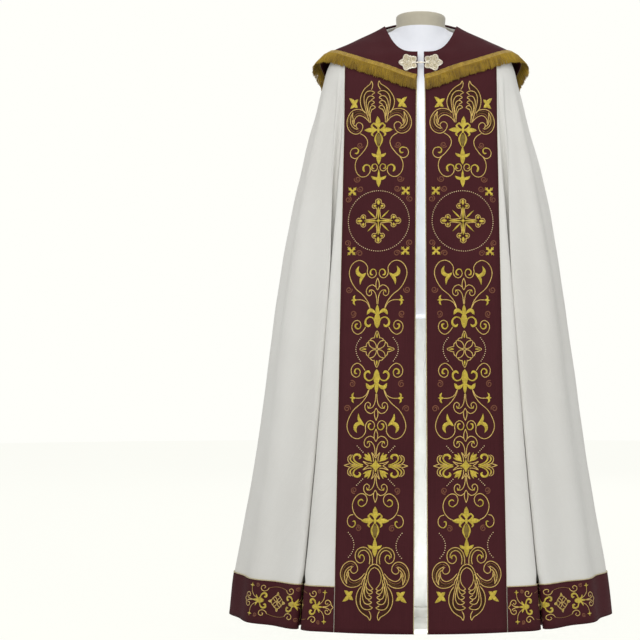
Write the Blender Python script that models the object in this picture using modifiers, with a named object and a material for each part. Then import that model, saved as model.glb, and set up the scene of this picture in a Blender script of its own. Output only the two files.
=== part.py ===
"""A priest's cope, fastened and hanging in folds on a limbless dress form.

The front faces -Y, the floor is Z = 0 and the form's pole stands on the origin. All sizes are in metres.

The cloth hangs on a stack of rings, from the neckline down to the hem. A place on it is a height on that
stack and an arc distance along the ring there, from the front opening round to the centre of the back.
"""

import math

import bmesh
import bpy
import numpy as np
from mathutils import Vector

# ---------------------------------------------------------------- driving sizes
CLOTH = 0.0016  # ivory body cloth with its lining
ORPHREY_WALL = 0.0015
BAND_WALL = 0.0014
HOOD_WALL = 0.0020
LAYER_GAP = 0.0008  # between a piece and what it lies on
SEAM_GAP = 0.0015  # between the hem band and the orphrey's edge
EDGE_SHOWING = 0.0015  # body cloth left showing inside each orphrey

FRINGE_HEADING = 0.010
FRINGE_LAP = 0.007  # how far the hood's cloth reaches under the heading
FRINGE_LIFT = 0.0008  # between the heading and the hood
FRINGE_WALL = 0.0016
LOCK_COUNT = 140
LOCK_LENGTH = 0.026
LOCK_SHARE = 0.66  # of the heading's length, the rest being gaps
LOCK_TAPER = 0.75
LOCK_SPLAY = 0.27  # how far a lock leans out from the body, for each unit that it falls
TIP_SPLAY = 0.75  # the same where the hood stands off the shoulder
TIP_POWER = 14  # how quickly that eases off towards the front and the back
LOCK_FOLLOW = 0.60  # how far it keeps to the heading's direction

CLASP_HEIGHT = 1.3555
CLASP_CENTRE_X = 0.0290
CLASP_WALL = 0.0020
CLASP_LOBES = 5
CLASP_RADIUS = 0.0185
CLASP_LOBE_DEPTH = 0.16
CLASP_STRETCH = 1.08  # how much wider a plate is than it is tall
CLASP_SECTORS = 40
CLASP_STEPS = 3  # from a plate's centre to its edge
HOOK_RADIUS = 0.0021
HOOK_CLEARANCE = 0.0011  # to the plates
HOOK_PLACES = (-0.021, -0.014, -0.009, 0.009, 0.014, 0.021)

POLE_RADIUS = 0.016
BASE_RADIUS = 0.19
BASE_THICKNESS = 0.008
COLLAR_RADIUS = 0.030
COLLAR_HEIGHT = 0.035
RIM = 0.004  # the rounding of the base's edges
BASE_SIDES = 48
FORM_BOTTOM = 0.745
PIECE_GAP = 0.0003

# Rings of the body cloth. The widest point of each is at Y = 0. side_rise is the power at which a ring
# climbs from its front and back to its side, front_gap the X of the front edge, and orphrey_x the X of
# the orphrey's outer edge. The hood's and the form's rings need only the first of these columns.
RING_COLUMNS = (
    "z_front", "z_side", "z_back", "half_width", "y_front", "y_back", "squareness", "side_rise",
    "front_gap", "orphrey_x",
)
BODY_RINGS = {
    "neckline":    (1.379, 1.459, 1.481, 0.087, -0.105, 0.078, 2.00, 3.4, 0.0075, 0.070),
    "collar":      (1.356, 1.441, 1.464, 0.118, -0.114, 0.100, 2.00, 3.0, 0.0078, 0.104),
    "yoke":        (1.322, 1.4225, 1.430, 0.160, -0.124, 0.122, 2.05, 2.5, 0.0082, 0.148),
    "shoulder":    (1.289, 1.4035, 1.388, 0.203, -0.133, 0.138, 2.10, 2.2, 0.0088, 0.179),
    "cap":         (1.255, 1.362, 1.345, 0.2275, -0.141, 0.148, 2.15, 2.0, 0.0093, 0.182),
    "sleeve_head": (1.215, 1.309, 1.290, 0.2415, -0.150, 0.157, 2.20, 2.0, 0.0095, 0.182),
    "upper":       (1.160, 1.211, 1.200, 0.269, -0.163, 0.171, 2.20, 2.0, 0.0098, 0.182),
    "chest":       (1.080, 1.100, 1.095, 0.297, -0.180, 0.190, 2.20, 2.0, 0.0100, 0.183),
    "waist":       (0.940, 0.940, 0.940, 0.330, -0.210, 0.222, 2.20, 2.0, 0.0106, 0.184),
    "hip":         (0.717, 0.717, 0.717, 0.366, -0.255, 0.272, 2.18, 2.0, 0.0115, 0.186),
    "thigh":       (0.470, 0.470, 0.470, 0.399, -0.300, 0.322, 2.15, 2.0, 0.0127, 0.188),
    "knee":        (0.248, 0.248, 0.248, 0.434, -0.335, 0.368, 2.12, 2.0, 0.0138, 0.190),
    "band_top":    (0.127, 0.127, 0.127, 0.455, -0.353, 0.392, 2.10, 2.0, 0.0143, 0.191),
    "hem":         (0.025, 0.025, 0.025, 0.467, -0.366, 0.410, 2.10, 2.0, 0.0147, 0.192),
}
NECK_ROW = 0
BAND_ROW = 12
HEM_ROW = 13
ORPHREY_TOP_ROW = 1

# Folds of each side. Shares run from the orphrey's edge (0) to the centre of the back (1), at the
# shoulder and at the hem. pinch draws the two walls of a fold together, and lean moves its bottom
# towards the back, for each unit of depth. Soft folds are shallow troughs.
FOLD_COLUMNS = (
    "share_top", "share_hem", "start_z", "depth_left", "depth_right", "half_width", "pinch", "lean",
)
DEEP_FOLDS = {
    "front":     (0.018, 0.080, 1.34, 0.068, 0.072, 0.031, 0.50, 0.62),
    "side":      (0.470, 0.515, 1.02, 0.064, 0.058, 0.030, 0.62, 0.00),
    "back_side": (0.560, 0.655, 0.84, 0.066, 0.062, 0.029, 0.62, -0.10),
    "back":      (0.640, 0.835, 1.36, 0.074, 0.070, 0.031, 0.55, -0.32),
}
SOFT_FOLDS = {
    "next_to_front": (0.120, 0.165, 1.18, 0.014, 0.012, 0.040, 0.0, 0.0),
    "hand":          (0.240, 0.290, 1.08, 0.010, 0.014, 0.045, 0.0, 0.0),
    "elbow":         (0.360, 0.425, 1.00, 0.016, 0.014, 0.042, 0.0, 0.0),
    "shoulder_back": (0.600, 0.745, 1.00, 0.010, 0.013, 0.040, 0.0, 0.0),
}
FOLDS = DEEP_FOLDS | SOFT_FOLDS
FOLD_TOP_Z = 1.30  # the shares of a fold move from share_top to share_hem below this height
FOLD_GROWTH = 0.85  # power of a fold's depth over its height
FOLD_NARROWING = 0.40  # how much narrower a fold is where it starts
CREST_SHARE = 0.09  # how far the cloth beside a fold swells, as a share of its depth
CREST_PLACE = 1.9  # in half widths from the fold's centre
CREST_SPREAD = 0.55

# Columns of the cloth's mesh: steps from a deep fold's centre in half widths, and even columns between.
FOLD_STEPS = (0.17, 0.38, 0.68, 1.1, 1.7)
COLUMNS_BETWEEN = (1, 6, 1, 2, 4)
MOST_TAKEN = 0.8  # of a stretch of cloth, by the steps beside its two folds
ORPHREY_COLUMNS = 4
ARC_SAMPLES = 721

# Rings of the hood, which covers both shoulders and stands off the body at their tips.
HOOD_RINGS = {
    "neckline":  (1.3845, 1.4650, 1.4870, 0.0885, -0.1095, 0.0820, 2.00, 3.4, 0.0075),
    "collar":    (1.3605, 1.4465, 1.4705, 0.1205, -0.1190, 0.1055, 2.00, 3.0, 0.0075),
    "yoke":      (1.3270, 1.4280, 1.4370, 0.1640, -0.1290, 0.1280, 2.05, 2.5, 0.0076),
    "shoulder":  (1.2940, 1.4055, 1.3950, 0.2130, -0.1385, 0.1450, 2.10, 2.2, 0.0078),
    "tip":       (1.2590, 1.3800, 1.3500, 0.2460, -0.1470, 0.1560, 2.15, 2.0, 0.0080),
    "arm":       (1.2200, 1.3430, 1.2950, 0.2425, -0.1570, 0.1690, 2.15, 2.0, 0.0080),
    "blade":     (1.1650, 1.2950, 1.2050, 0.2400, -0.1720, 0.1880, 2.20, 2.0, 0.0080),
    "back_edge": (1.0850, 1.2000, 1.1100, 0.2470, -0.1950, 0.2060, 2.20, 2.0, 0.0080),
}
# The hood's lower edge: the angle round each ring, from the front (0) by the side (90) to the back (180),
# and the row of the hood's rings where the edge crosses it.
HOOD_EDGE = {
    0: 2.13, 12: 1.90, 26: 1.77, 36: 1.90, 47: 2.24, 62: 2.69, 74: 2.97, 82: 3.18, 90: 3.62, 98: 4.08,
    106: 4.60, 112: 5.12, 116: 5.58, 121: 5.86, 128: 6.06, 137: 6.28, 151: 6.58, 165: 6.80, 180: 6.93,
}
HOOD_ANGLES = (20, 32, 43, 53, 62, 70, 77, 83, 88, 94, 101, 109, 118, 127, 137, 147, 158, 169, 180)
HOOD_LEVELS = (0, 0.13, 0.26, 0.39, 0.52, 0.66, 0.82, 1)

# Rings of the dress form's torso, a few millimetres inside the cloth from the neckline to the shoulders.
FORM_RINGS = {
    "cap_top":   (1.4900, 1.4900, 1.4900, 0.0560, -0.0640, 0.0460, 2.20, 2.0),
    "cap_edge":  (1.4850, 1.4850, 1.4850, 0.0610, -0.0690, 0.0510, 2.20, 2.0),
    "neck":      (1.4350, 1.4660, 1.4750, 0.0605, -0.0690, 0.0540, 2.10, 2.0),
    "neck_foot": (1.4030, 1.4550, 1.4690, 0.0680, -0.0740, 0.0640, 2.00, 2.4),
    "neckline":  (1.3780, 1.4470, 1.4650, 0.0880, -0.0900, 0.0780, 2.00, 3.0),
    "collar":    (1.3520, 1.4350, 1.4570, 0.1160, -0.1070, 0.0950, 2.00, 3.0),
    "yoke":      (1.3180, 1.4165, 1.4230, 0.1580, -0.1170, 0.1160, 2.05, 2.5),
    "shoulder":  (1.2850, 1.3980, 1.3800, 0.1900, -0.1240, 0.1300, 2.10, 2.2),
    "point":     (1.2600, 1.3740, 1.3480, 0.2010, -0.1280, 0.1360, 2.15, 2.0),
    "armhole":   (1.2300, 1.3300, 1.3000, 0.2030, -0.1300, 0.1400, 2.20, 2.0),
    "bust":      (1.1800, 1.2000, 1.1900, 0.1860, -0.1290, 0.1380, 2.20, 2.0),
    "rib":       (1.1000, 1.1000, 1.1000, 0.1680, -0.1190, 0.1260, 2.20, 2.0),
    "waist":     (1.0100, 1.0100, 1.0100, 0.1510, -0.1080, 0.1090, 2.20, 2.0),
    "belly":     (0.9200, 0.9200, 0.9200, 0.1640, -0.1110, 0.1200, 2.20, 2.0),
    "hip":       (0.8300, 0.8300, 0.8300, 0.1800, -0.1170, 0.1380, 2.20, 2.0),
    "rim":       (0.7620, 0.7620, 0.7620, 0.1800, -0.1150, 0.1380, 2.20, 2.0),
    "rim_edge":  (FORM_BOTTOM, FORM_BOTTOM, FORM_BOTTOM, 0.1700, -0.1050, 0.1280, 2.20, 2.0),
}
FORM_SIDES = 28

IVORY = (0.86, 0.85, 0.81)
BURGUNDY = (0.31, 0.13, 0.16)
OLD_GOLD = (0.62, 0.47, 0.15)
SILVER = (0.80, 0.78, 0.70)
LINEN = (0.72, 0.69, 0.61)
ENAMEL = (0.90, 0.90, 0.88)


# ---------------------------------------------------------------- curves and rings
def smooth(at, places, values):
    """Values at the given places, on one smooth curve through the known ones."""
    places, values = np.asarray(places, float), np.asarray(values, float)
    at = np.clip(np.asarray(at, float), places[0], places[-1])
    step = np.diff(places)
    slope = np.diff(values, axis=0) / (step if values.ndim == 1 else step[:, None])
    inner = (slope[:-1] + slope[1:]) / 2
    tangent = np.concatenate([slope[:1], inner, slope[-1:]])
    i = np.clip(np.searchsorted(places, at, side="right") - 1, 0, len(step) - 1)
    u = (at - places[i]) / step[i]
    h = step[i]
    if values.ndim > 1:
        u, h = u[..., None], h[..., None]
    rise = u * u * (3 - 2 * u)
    return (
        values[i] * (1 - rise)
        + values[i + 1] * rise
        + tangent[i] * h * u * (1 - u) ** 2
        - tangent[i + 1] * h * u * u * (1 - u)
    )


def ring_at(rings, row):
    """The sizes of the ring at a row, which may lie between two rings of the table."""
    table = np.array(list(rings.values()))
    sizes = smooth(row, np.arange(len(table)), table)
    return dict(zip(RING_COLUMNS, (float(v) for v in sizes)))


def ring_points(ring, angle):
    """Points of a ring, from the front (angle 0) by the right side to the back (pi) and on by the left."""
    power = 2 / ring["squareness"]
    across, along = np.abs(np.sin(angle)), np.cos(angle)
    front = along > 0
    depth = np.where(front, -ring["y_front"], ring["y_back"])
    end_z = np.where(front, ring["z_front"], ring["z_back"])
    return np.stack(
        [
            ring["half_width"] * np.sign(np.sin(angle)) * across**power,
            -np.sign(along) * depth * np.abs(along) ** power,
            end_z + (ring["z_side"] - end_z) * across ** ring["side_rise"],
        ],
        axis=-1,
    )


def angle_of_x(ring, x):
    return math.asin(min(1.0, x / ring["half_width"]) ** (ring["squareness"] / 2))


def ring_arc(ring, start_angle):
    """(angles, arc distances) along a ring, from an angle near the front to just past the back's centre."""
    angles = np.linspace(start_angle, math.pi + 0.02, ARC_SAMPLES)
    points = ring_points(ring, angles)
    steps = np.linalg.norm(np.diff(points, axis=0), axis=1)
    return angles, np.concatenate([[0], np.cumsum(steps)])


# ---------------------------------------------------------------- the folded body cloth
class Level:
    """One level of the folded cloth: a row of rings, on the right (side 1) or the left (side -1)."""

    def __init__(self, row, side):
        self.side = side
        self.ring = ring_at(BODY_RINGS, row)
        self.angles, self.arcs = ring_arc(self.ring, angle_of_x(self.ring, self.ring["front_gap"]))
        self.length = float(np.interp(math.pi, self.angles, self.arcs))
        edge_angle = angle_of_x(self.ring, self.ring["orphrey_x"])
        self.orphrey = float(np.interp(edge_angle, self.angles, self.arcs))
        self.hem_z = BODY_RINGS["hem"][0]
        self.z = self.ring["z_side"]
        self.folds = {name: self.fold_here(dict(zip(FOLD_COLUMNS, FOLDS[name]))) for name in FOLDS}

    def grown(self, start_z):
        return min(1.0, max(0.0, (start_z - self.z) / (start_z - self.hem_z)))

    def fold_here(self, fold):
        """(arc distance of the centre, depth, half width, pinch, lean) of a fold at this level."""
        share = fold["share_top"] + (fold["share_hem"] - fold["share_top"]) * self.grown(FOLD_TOP_Z)
        centre = self.orphrey + share * (self.length - self.orphrey)
        grown = self.grown(fold["start_z"]) ** FOLD_GROWTH
        depth = grown * fold["depth_right" if self.side > 0 else "depth_left"]
        width = fold["half_width"] * (1 - FOLD_NARROWING * (1 - grown))
        return centre, depth, width, fold["pinch"] * grown, fold["lean"]

    def points(self, distance):
        """The cloth's middle surface at arc distances from the front edge."""
        distance = np.asarray(distance, float)
        moved = distance.copy()
        inward = np.zeros_like(distance)
        for centre, depth, width, pinch, lean in self.folds.values():
            offset = distance - centre
            t = offset / width
            valley = np.exp(-t * t)
            crest = np.exp(-(((np.abs(t) - CREST_PLACE) / CREST_SPREAD) ** 2))
            moved += depth * lean * valley - offset * pinch * t * t * math.e * valley
            inward += depth * (valley - CREST_SHARE * crest)
        angle = np.interp(moved, self.arcs, self.angles)
        base = ring_points(self.ring, angle)
        across = ring_points(self.ring, angle + 1e-4) - ring_points(self.ring, angle - 1e-4)
        outward = np.stack([across[:, 1], -across[:, 0], np.zeros(len(across))], axis=-1)
        outward /= np.linalg.norm(outward, axis=1)[:, None] + 1e-12
        made = base - outward * inward[:, None]
        made[:, 0] *= self.side
        return made


def cloth_points(row, side, place):
    """Points and outward normals on a level, where place(level) gives the arc distances."""
    step_row, step_arc = 0.02, 0.0004
    here = Level(row, side)
    distance = place(here)
    points = here.points(distance)
    along = here.points(distance + step_arc) - here.points(distance - step_arc)
    above, below = Level(max(NECK_ROW, row - step_row), side), Level(min(HEM_ROW, row + step_row), side)
    down = below.points(place(below)) - above.points(place(above))
    normals = np.cross(down, along) * side
    normals /= np.linalg.norm(normals, axis=1)[:, None]
    return points, normals


def columns_between(start, end, start_width, end_width, even_count):
    """Arc distances from one knot up to the next, close together beside a deep fold."""
    steps = np.array(FOLD_STEPS)
    fit = min(1.0, MOST_TAKEN * (end - start) / ((start_width + end_width) * steps[-1]))
    near_start = start + steps * start_width * fit if start_width else np.array([])
    near_end = (end - steps * end_width * fit)[::-1] if end_width else np.array([])
    low = near_start[-1] if start_width else start
    high = near_end[0] if end_width else end
    even = np.linspace(low, high, even_count + 2)[1:-1]
    return np.concatenate([[start], near_start, even, near_end])


def panel_places(level):
    """Arc distances of the columns from the orphrey's edge to the centre of the back."""
    folds = [level.folds[name] for name in DEEP_FOLDS]
    knots = [level.orphrey, *(fold[0] for fold in folds), level.length]
    widths = [0.0, *(fold[2] for fold in folds), 0.0]
    runs = [
        columns_between(knots[i], knots[i + 1], widths[i], widths[i + 1], count)
        for i, count in enumerate(COLUMNS_BETWEEN)
    ]
    return np.concatenate([*runs, [level.length]])


def body_places(level):
    return np.concatenate([np.linspace(0, level.orphrey, ORPHREY_COLUMNS + 1)[:-1], panel_places(level)])


def band_places(level):
    places = panel_places(level)
    places[0] += SEAM_GAP
    return places


def orphrey_places(level):
    return np.linspace(EDGE_SHOWING, level.orphrey, ORPHREY_COLUMNS + 1)


def both_sides(row, place, lift):
    """A row of points from the left front edge, round the back, to the right front edge."""
    left, left_normals = cloth_points(row, -1, place)
    right, right_normals = cloth_points(row, 1, place)
    points = np.concatenate([left, right[-2::-1]])
    normals = np.concatenate([left_normals, right_normals[-2::-1]])
    return points + normals * lift


# ---------------------------------------------------------------- meshes
def put(name, mesh, material, parent):
    thing = bpy.data.objects.new(name, mesh)
    parent.objects.link(thing)
    mesh.materials.append(material)
    return thing


def grid_mesh(name, rows):
    """An open sheet through rows of points, with each quad cut along the same diagonal."""
    height, width = len(rows), len(rows[0])
    points = [tuple(p) for row in rows for p in row]
    faces = []
    for r in range(height - 1):
        for c in range(width - 1):
            a, b = r * width + c, r * width + c + 1
            d, e = a + width, b + width
            faces += [(a, d, b), (b, d, e)]
    mesh = bpy.data.meshes.new(name)
    mesh.from_pydata(points, [], faces)
    mesh.shade_smooth()
    return mesh


def sheet(name, rows, thickness, material, parent):
    """Cloth: an open sheet, thickened evenly to both sides."""
    thing = put(name, grid_mesh(name, rows), material, parent)
    wall = thing.modifiers.new("cloth", "SOLIDIFY")
    wall.thickness = thickness
    wall.offset = 0
    wall.use_quality_normals = True
    return thing


def paint(name, colour, roughness, metallic=0.0):
    """A plain finish. The colour is as seen on a screen, and is turned to linear here."""
    material = bpy.data.materials.new(name)
    material.use_nodes = True
    shader = material.node_tree.nodes["Principled BSDF"]
    linear = [c / 12.92 if c <= 0.04045 else ((c + 0.055) / 1.055) ** 2.4 for c in colour]
    shader.inputs["Base Color"].default_value = (*linear, 1)
    shader.inputs["Roughness"].default_value = roughness
    shader.inputs["Metallic"].default_value = metallic
    return material


# ---------------------------------------------------------------- cloth pieces
def make_body(finish, parts):
    rows = [both_sides(row, body_places, 0.0) for row in range(NECK_ROW, HEM_ROW + 1)]
    return sheet("body", rows, CLOTH, finish, parts)


def make_hem_band(finish, parts):
    lift = CLOTH / 2 + LAYER_GAP + BAND_WALL / 2
    rows = [both_sides(row, band_places, lift) for row in (BAND_ROW, HEM_ROW)]
    return sheet("hem_band", rows, BAND_WALL, finish, parts)


def make_orphrey(side, finish, parts):
    lift = CLOTH / 2 + LAYER_GAP + ORPHREY_WALL / 2
    rows = []
    for row in range(ORPHREY_TOP_ROW, HEM_ROW + 1):
        points, normals = cloth_points(row, side, orphrey_places)
        row_points = points + normals * lift
        rows.append(row_points if side < 0 else row_points[::-1])
    return sheet("orphrey_right" if side > 0 else "orphrey_left", rows, ORPHREY_WALL, finish, parts)


# ---------------------------------------------------------------- the hood and its fringe
def hood_point(side, angle, row):
    """A point of the hood's middle surface, as a Vector. Angles are in radians."""
    ring = ring_at(HOOD_RINGS, row)
    x, y, z = ring_points(ring, np.array([angle]))[0]
    return Vector((x * side, y, z))


def hood_normal(side, angle, row):
    turn, drop = 0.01, 0.02
    along = hood_point(side, angle + turn, row) - hood_point(side, angle - turn, row)
    down = hood_point(side, angle, row + drop) - hood_point(side, angle, max(0.0, row - drop))
    return (down.cross(along) * side).normalized()


def hood_front_angle(row):
    ring = ring_at(HOOD_RINGS, row)
    return angle_of_x(ring, ring["front_gap"])


def hood_edge_row(angle):
    turned = 180 - abs(180 - math.degrees(angle))
    return float(smooth(turned, list(HOOD_EDGE), list(HOOD_EDGE.values())))


def hood_edge(side, angle):
    """(point, outward normal, direction away from the hood) on its lower edge."""
    turn = 0.02
    row = hood_edge_row(angle)
    before, after = angle - turn, angle + turn
    tangent = (
        hood_point(side, after, hood_edge_row(after)) - hood_point(side, before, hood_edge_row(before))
    ).normalized()
    normal = hood_normal(side, angle, row)
    away = tangent.cross(normal).normalized() * side
    return hood_point(side, angle, row), normal, away


def hood_column(side, angle_or_front):
    """One column of the hood's sheet, from the neckline to just under the fringe's heading."""
    points = []
    edge_angle = angle_or_front
    if angle_or_front is None:
        edge_angle = hood_front_angle(HOOD_EDGE[0])
    for level in HOOD_LEVELS:
        row = level * hood_edge_row(edge_angle)
        angle = edge_angle if angle_or_front is not None else hood_front_angle(row)
        points.append(hood_point(side, angle, row))
    _, _, away = hood_edge(side, edge_angle)
    points.append(points[-1] + away * FRINGE_LAP)
    return points


def make_hood(finish, parts):
    angles = [None, *(math.radians(a) for a in HOOD_ANGLES)]
    left = [hood_column(-1, angle) for angle in angles]
    right = [hood_column(1, angle) for angle in angles[:-1]]
    columns = left + right[::-1]
    rows = [[column[r] for column in columns] for r in range(len(columns[0]))]
    return sheet("hood", rows, HOOD_WALL, finish, parts)


def fringe_path():
    """(angles, arc distances) along the hood's edge, from the front to the centre of the back."""
    angles = np.linspace(hood_front_angle(HOOD_EDGE[0]), math.pi, 400)
    points = np.array([hood_point(1, a, hood_edge_row(a)) for a in angles])
    steps = np.linalg.norm(np.diff(points, axis=0), axis=1)
    return angles, np.concatenate([[0], np.cumsum(steps)])


def edge_at(path, distance):
    """hood_edge a distance along the whole edge, from the left front round to the right front."""
    angles, arcs = path
    half = arcs[-1]
    side = -1 if distance <= half else 1
    return hood_edge(side, float(np.interp(min(distance, 2 * half - distance), arcs, angles)))


def make_fringe(finish, parts):
    """A comb: the heading on the hood's edge, and tapered locks that hang from it by their weight."""
    path = fringe_path()
    pitch = 2 * path[1][-1] / LOCK_COUNT
    lift = HOOD_WALL / 2 + FRINGE_LIFT + FRINGE_WALL / 2
    down = Vector((0, 0, -1))
    bm = bmesh.new()
    row = []
    for i in range(LOCK_COUNT):
        for share in ((1 - LOCK_SHARE) / 2, (1 + LOCK_SHARE) / 2):
            point, normal, away = edge_at(path, pitch * (i + share))
            top = point + normal * lift
            foot = top + away * FRINGE_HEADING
            out = Vector((normal.x, normal.y, 0)).normalized()
            splay = LOCK_SPLAY + (TIP_SPLAY - LOCK_SPLAY) * abs(out.x) ** TIP_POWER
            tip = foot + (down + out * splay + away * LOCK_FOLLOW).normalized() * LOCK_LENGTH
            row.append([bm.verts.new(top), bm.verts.new(foot), tip])
    for (top, foot, _), (next_top, next_foot, _) in zip(row, row[1:]):
        bm.faces.new((top, foot, next_foot, next_top))
    for (_, foot, tip), (_, next_foot, next_tip) in zip(row[::2], row[1::2]):
        middle = (tip + next_tip) / 2
        low = bm.verts.new(middle + (tip - middle) * LOCK_TAPER)
        next_low = bm.verts.new(middle + (next_tip - middle) * LOCK_TAPER)
        bm.faces.new((foot, low, next_low, next_foot))
    mesh = bpy.data.meshes.new("fringe")
    bm.to_mesh(mesh)
    bm.free()
    thing = put("fringe", mesh, finish, parts)
    wall = thing.modifiers.new("yarn", "SOLIDIFY")
    wall.thickness = FRINGE_WALL
    wall.offset = 0
    return thing


# ---------------------------------------------------------------- the clasp
def hood_at(x, z):
    """(point, normal) of the hood's middle surface at an X and a height, near the front opening.

    Newton's method on the angle and the row, from a start near the clasp.
    """
    side = 1 if x >= 0 else -1
    angle, row, step = 0.35, 1.5, 0.001
    for _ in range(30):
        here = hood_point(1, angle, row)
        by_angle = (hood_point(1, angle + step, row) - here) / step
        by_row = (hood_point(1, angle, row + step) - here) / step
        miss_x, miss_z = abs(x) - here.x, z - here.z
        scale = by_angle.x * by_row.z - by_angle.z * by_row.x
        angle += (miss_x * by_row.z - miss_z * by_row.x) / scale
        row += (by_angle.x * miss_z - by_angle.z * miss_x) / scale
        angle = min(1.5, max(0.02, angle))
        row = min(3.0, max(0.02, row))
    return hood_point(side, angle, row), hood_normal(side, angle, row)


def make_clasp_plate(side, finish, parts):
    """A lobed leaf plate that follows the curve of the chest."""
    lift = HOOD_WALL / 2 + LAYER_GAP + CLASP_WALL / 2
    rows = []
    for step in range(CLASP_STEPS + 1):
        row = []
        for sector in range(CLASP_SECTORS + 1):
            turn = 2 * math.pi * sector / CLASP_SECTORS
            lobe = 1 + CLASP_LOBE_DEPTH * math.cos(CLASP_LOBES * turn)
            reach = CLASP_RADIUS * lobe * step / CLASP_STEPS
            x = CLASP_CENTRE_X + reach * math.cos(turn) * CLASP_STRETCH
            point, normal = hood_at(side * x, CLASP_HEIGHT + reach * math.sin(turn))
            row.append(point + normal * lift)
        rows.append(row if side < 0 else row[::-1])
    name = "clasp_right" if side > 0 else "clasp_left"
    thing = put(name, grid_mesh(name, rows), finish, parts)
    bm = bmesh.new()
    bm.from_mesh(thing.data)
    bmesh.ops.remove_doubles(bm, verts=bm.verts, dist=1e-6)
    bm.to_mesh(thing.data)
    bm.free()
    wall = thing.modifiers.new("plate", "SOLIDIFY")
    wall.thickness = CLASP_WALL
    wall.offset = 0
    return thing


def make_clasp_hook(finish, parts):
    """The hook that bridges the opening, lying on the inner ends of both plates."""
    lift = HOOD_WALL / 2 + LAYER_GAP + CLASP_WALL + HOOK_CLEARANCE + HOOK_RADIUS
    curve = bpy.data.curves.new("clasp_hook", "CURVE")
    curve.dimensions = "3D"
    curve.bevel_depth = HOOK_RADIUS
    curve.bevel_resolution = 2
    curve.use_fill_caps = True
    line = curve.splines.new("POLY")
    line.points.add(len(HOOK_PLACES) - 1)
    for spot, x in zip(line.points, HOOK_PLACES):
        point, normal = hood_at(x, CLASP_HEIGHT)
        spot.co = (x, (point + normal * lift).y, CLASP_HEIGHT, 1)
    thing = bpy.data.objects.new("clasp_hook", curve)
    curve.materials.append(finish)
    parts.objects.link(thing)
    return thing


# ---------------------------------------------------------------- the dress form
def make_torso(finish, parts):
    """A loft through the form's rings, closed by a flat neck cap and a flat underside."""
    bm = bmesh.new()
    turns = np.linspace(0, 2 * math.pi, FORM_SIDES + 1)[:-1]
    rings = []
    for row in range(len(FORM_RINGS)):
        points = ring_points(ring_at(FORM_RINGS, row), turns)
        rings.append([bm.verts.new(point) for point in points])
    for upper, lower in zip(rings, rings[1:]):
        for i in range(FORM_SIDES):
            j = (i + 1) % FORM_SIDES
            bm.faces.new((upper[i], lower[i], lower[j], upper[j]))
    bm.faces.new(rings[0])
    bm.faces.new(rings[-1][::-1])
    bmesh.ops.recalc_face_normals(bm, faces=bm.faces)
    mesh = bpy.data.meshes.new("form_torso")
    bm.to_mesh(mesh)
    bm.free()
    mesh.shade_smooth()
    return put("form_torso", mesh, finish, parts)


def make_pole(finish, parts):
    low, high = BASE_THICKNESS + PIECE_GAP, FORM_BOTTOM - PIECE_GAP
    bpy.ops.mesh.primitive_cylinder_add(
        vertices=24, radius=POLE_RADIUS, depth=high - low, location=(0, 0, (low + high) / 2)
    )
    return adopt("form_pole", finish, parts)


def make_base(finish, parts):
    """A heavy round foot with a raised collar round the pole, turned from one profile."""
    bore = POLE_RADIUS + PIECE_GAP
    profile = (
        (0, BASE_THICKNESS), (bore, BASE_THICKNESS), (bore, COLLAR_HEIGHT),
        (COLLAR_RADIUS - RIM, COLLAR_HEIGHT), (COLLAR_RADIUS, COLLAR_HEIGHT - RIM),
        (COLLAR_RADIUS, BASE_THICKNESS + RIM), (BASE_RADIUS - RIM, BASE_THICKNESS),
        (BASE_RADIUS, BASE_THICKNESS - RIM), (BASE_RADIUS, 0), (0, 0),
    )
    mesh = bpy.data.meshes.new("form_base")
    mesh.from_pydata([(r, 0, z) for r, z in profile], [(i, i + 1) for i in range(len(profile) - 1)], [])
    thing = put("form_base", mesh, finish, parts)
    turned = thing.modifiers.new("turned", "SCREW")
    turned.steps = BASE_SIDES
    turned.render_steps = BASE_SIDES
    turned.use_merge_vertices = True
    turned.merge_threshold = 0.0001
    return thing


def adopt(name, finish, parts):
    """Names the primitive that was just added and moves it to the object's collection."""
    thing = bpy.context.object
    thing.name = name
    for collection in list(thing.users_collection):
        collection.objects.unlink(thing)
    parts.objects.link(thing)
    thing.data.materials.append(finish)
    thing.data.shade_smooth()
    thing.data.set_sharp_from_angle(angle=math.radians(40))
    return thing


# ---------------------------------------------------------------- the whole object
def clear_scene():
    for thing in list(bpy.data.objects):
        bpy.data.objects.remove(thing, do_unlink=True)


def new_collection(name):
    made = bpy.data.collections.new(name)
    bpy.context.scene.collection.children.link(made)
    return made


def main():
    clear_scene()
    parts = new_collection("cope_on_dress_form")
    ivory = paint("ivory_cloth", IVORY, 0.75)
    burgundy = paint("burgundy_cloth", BURGUNDY, 0.8)
    gold = paint("gold_fringe", OLD_GOLD, 0.5)
    silver = paint("clasp_metal", SILVER, 0.3, 1.0)
    linen = paint("form_linen", LINEN, 0.85)
    enamel = paint("stand_steel", ENAMEL, 0.35)

    make_body(ivory, parts)
    make_hem_band(burgundy, parts)
    for side in (-1, 1):
        make_orphrey(side, burgundy, parts)
        make_clasp_plate(side, silver, parts)
    make_hood(burgundy, parts)
    make_fringe(gold, parts)
    make_clasp_hook(silver, parts)
    make_torso(linen, parts)
    make_pole(enamel, parts)
    make_base(enamel, parts)


main()
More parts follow.
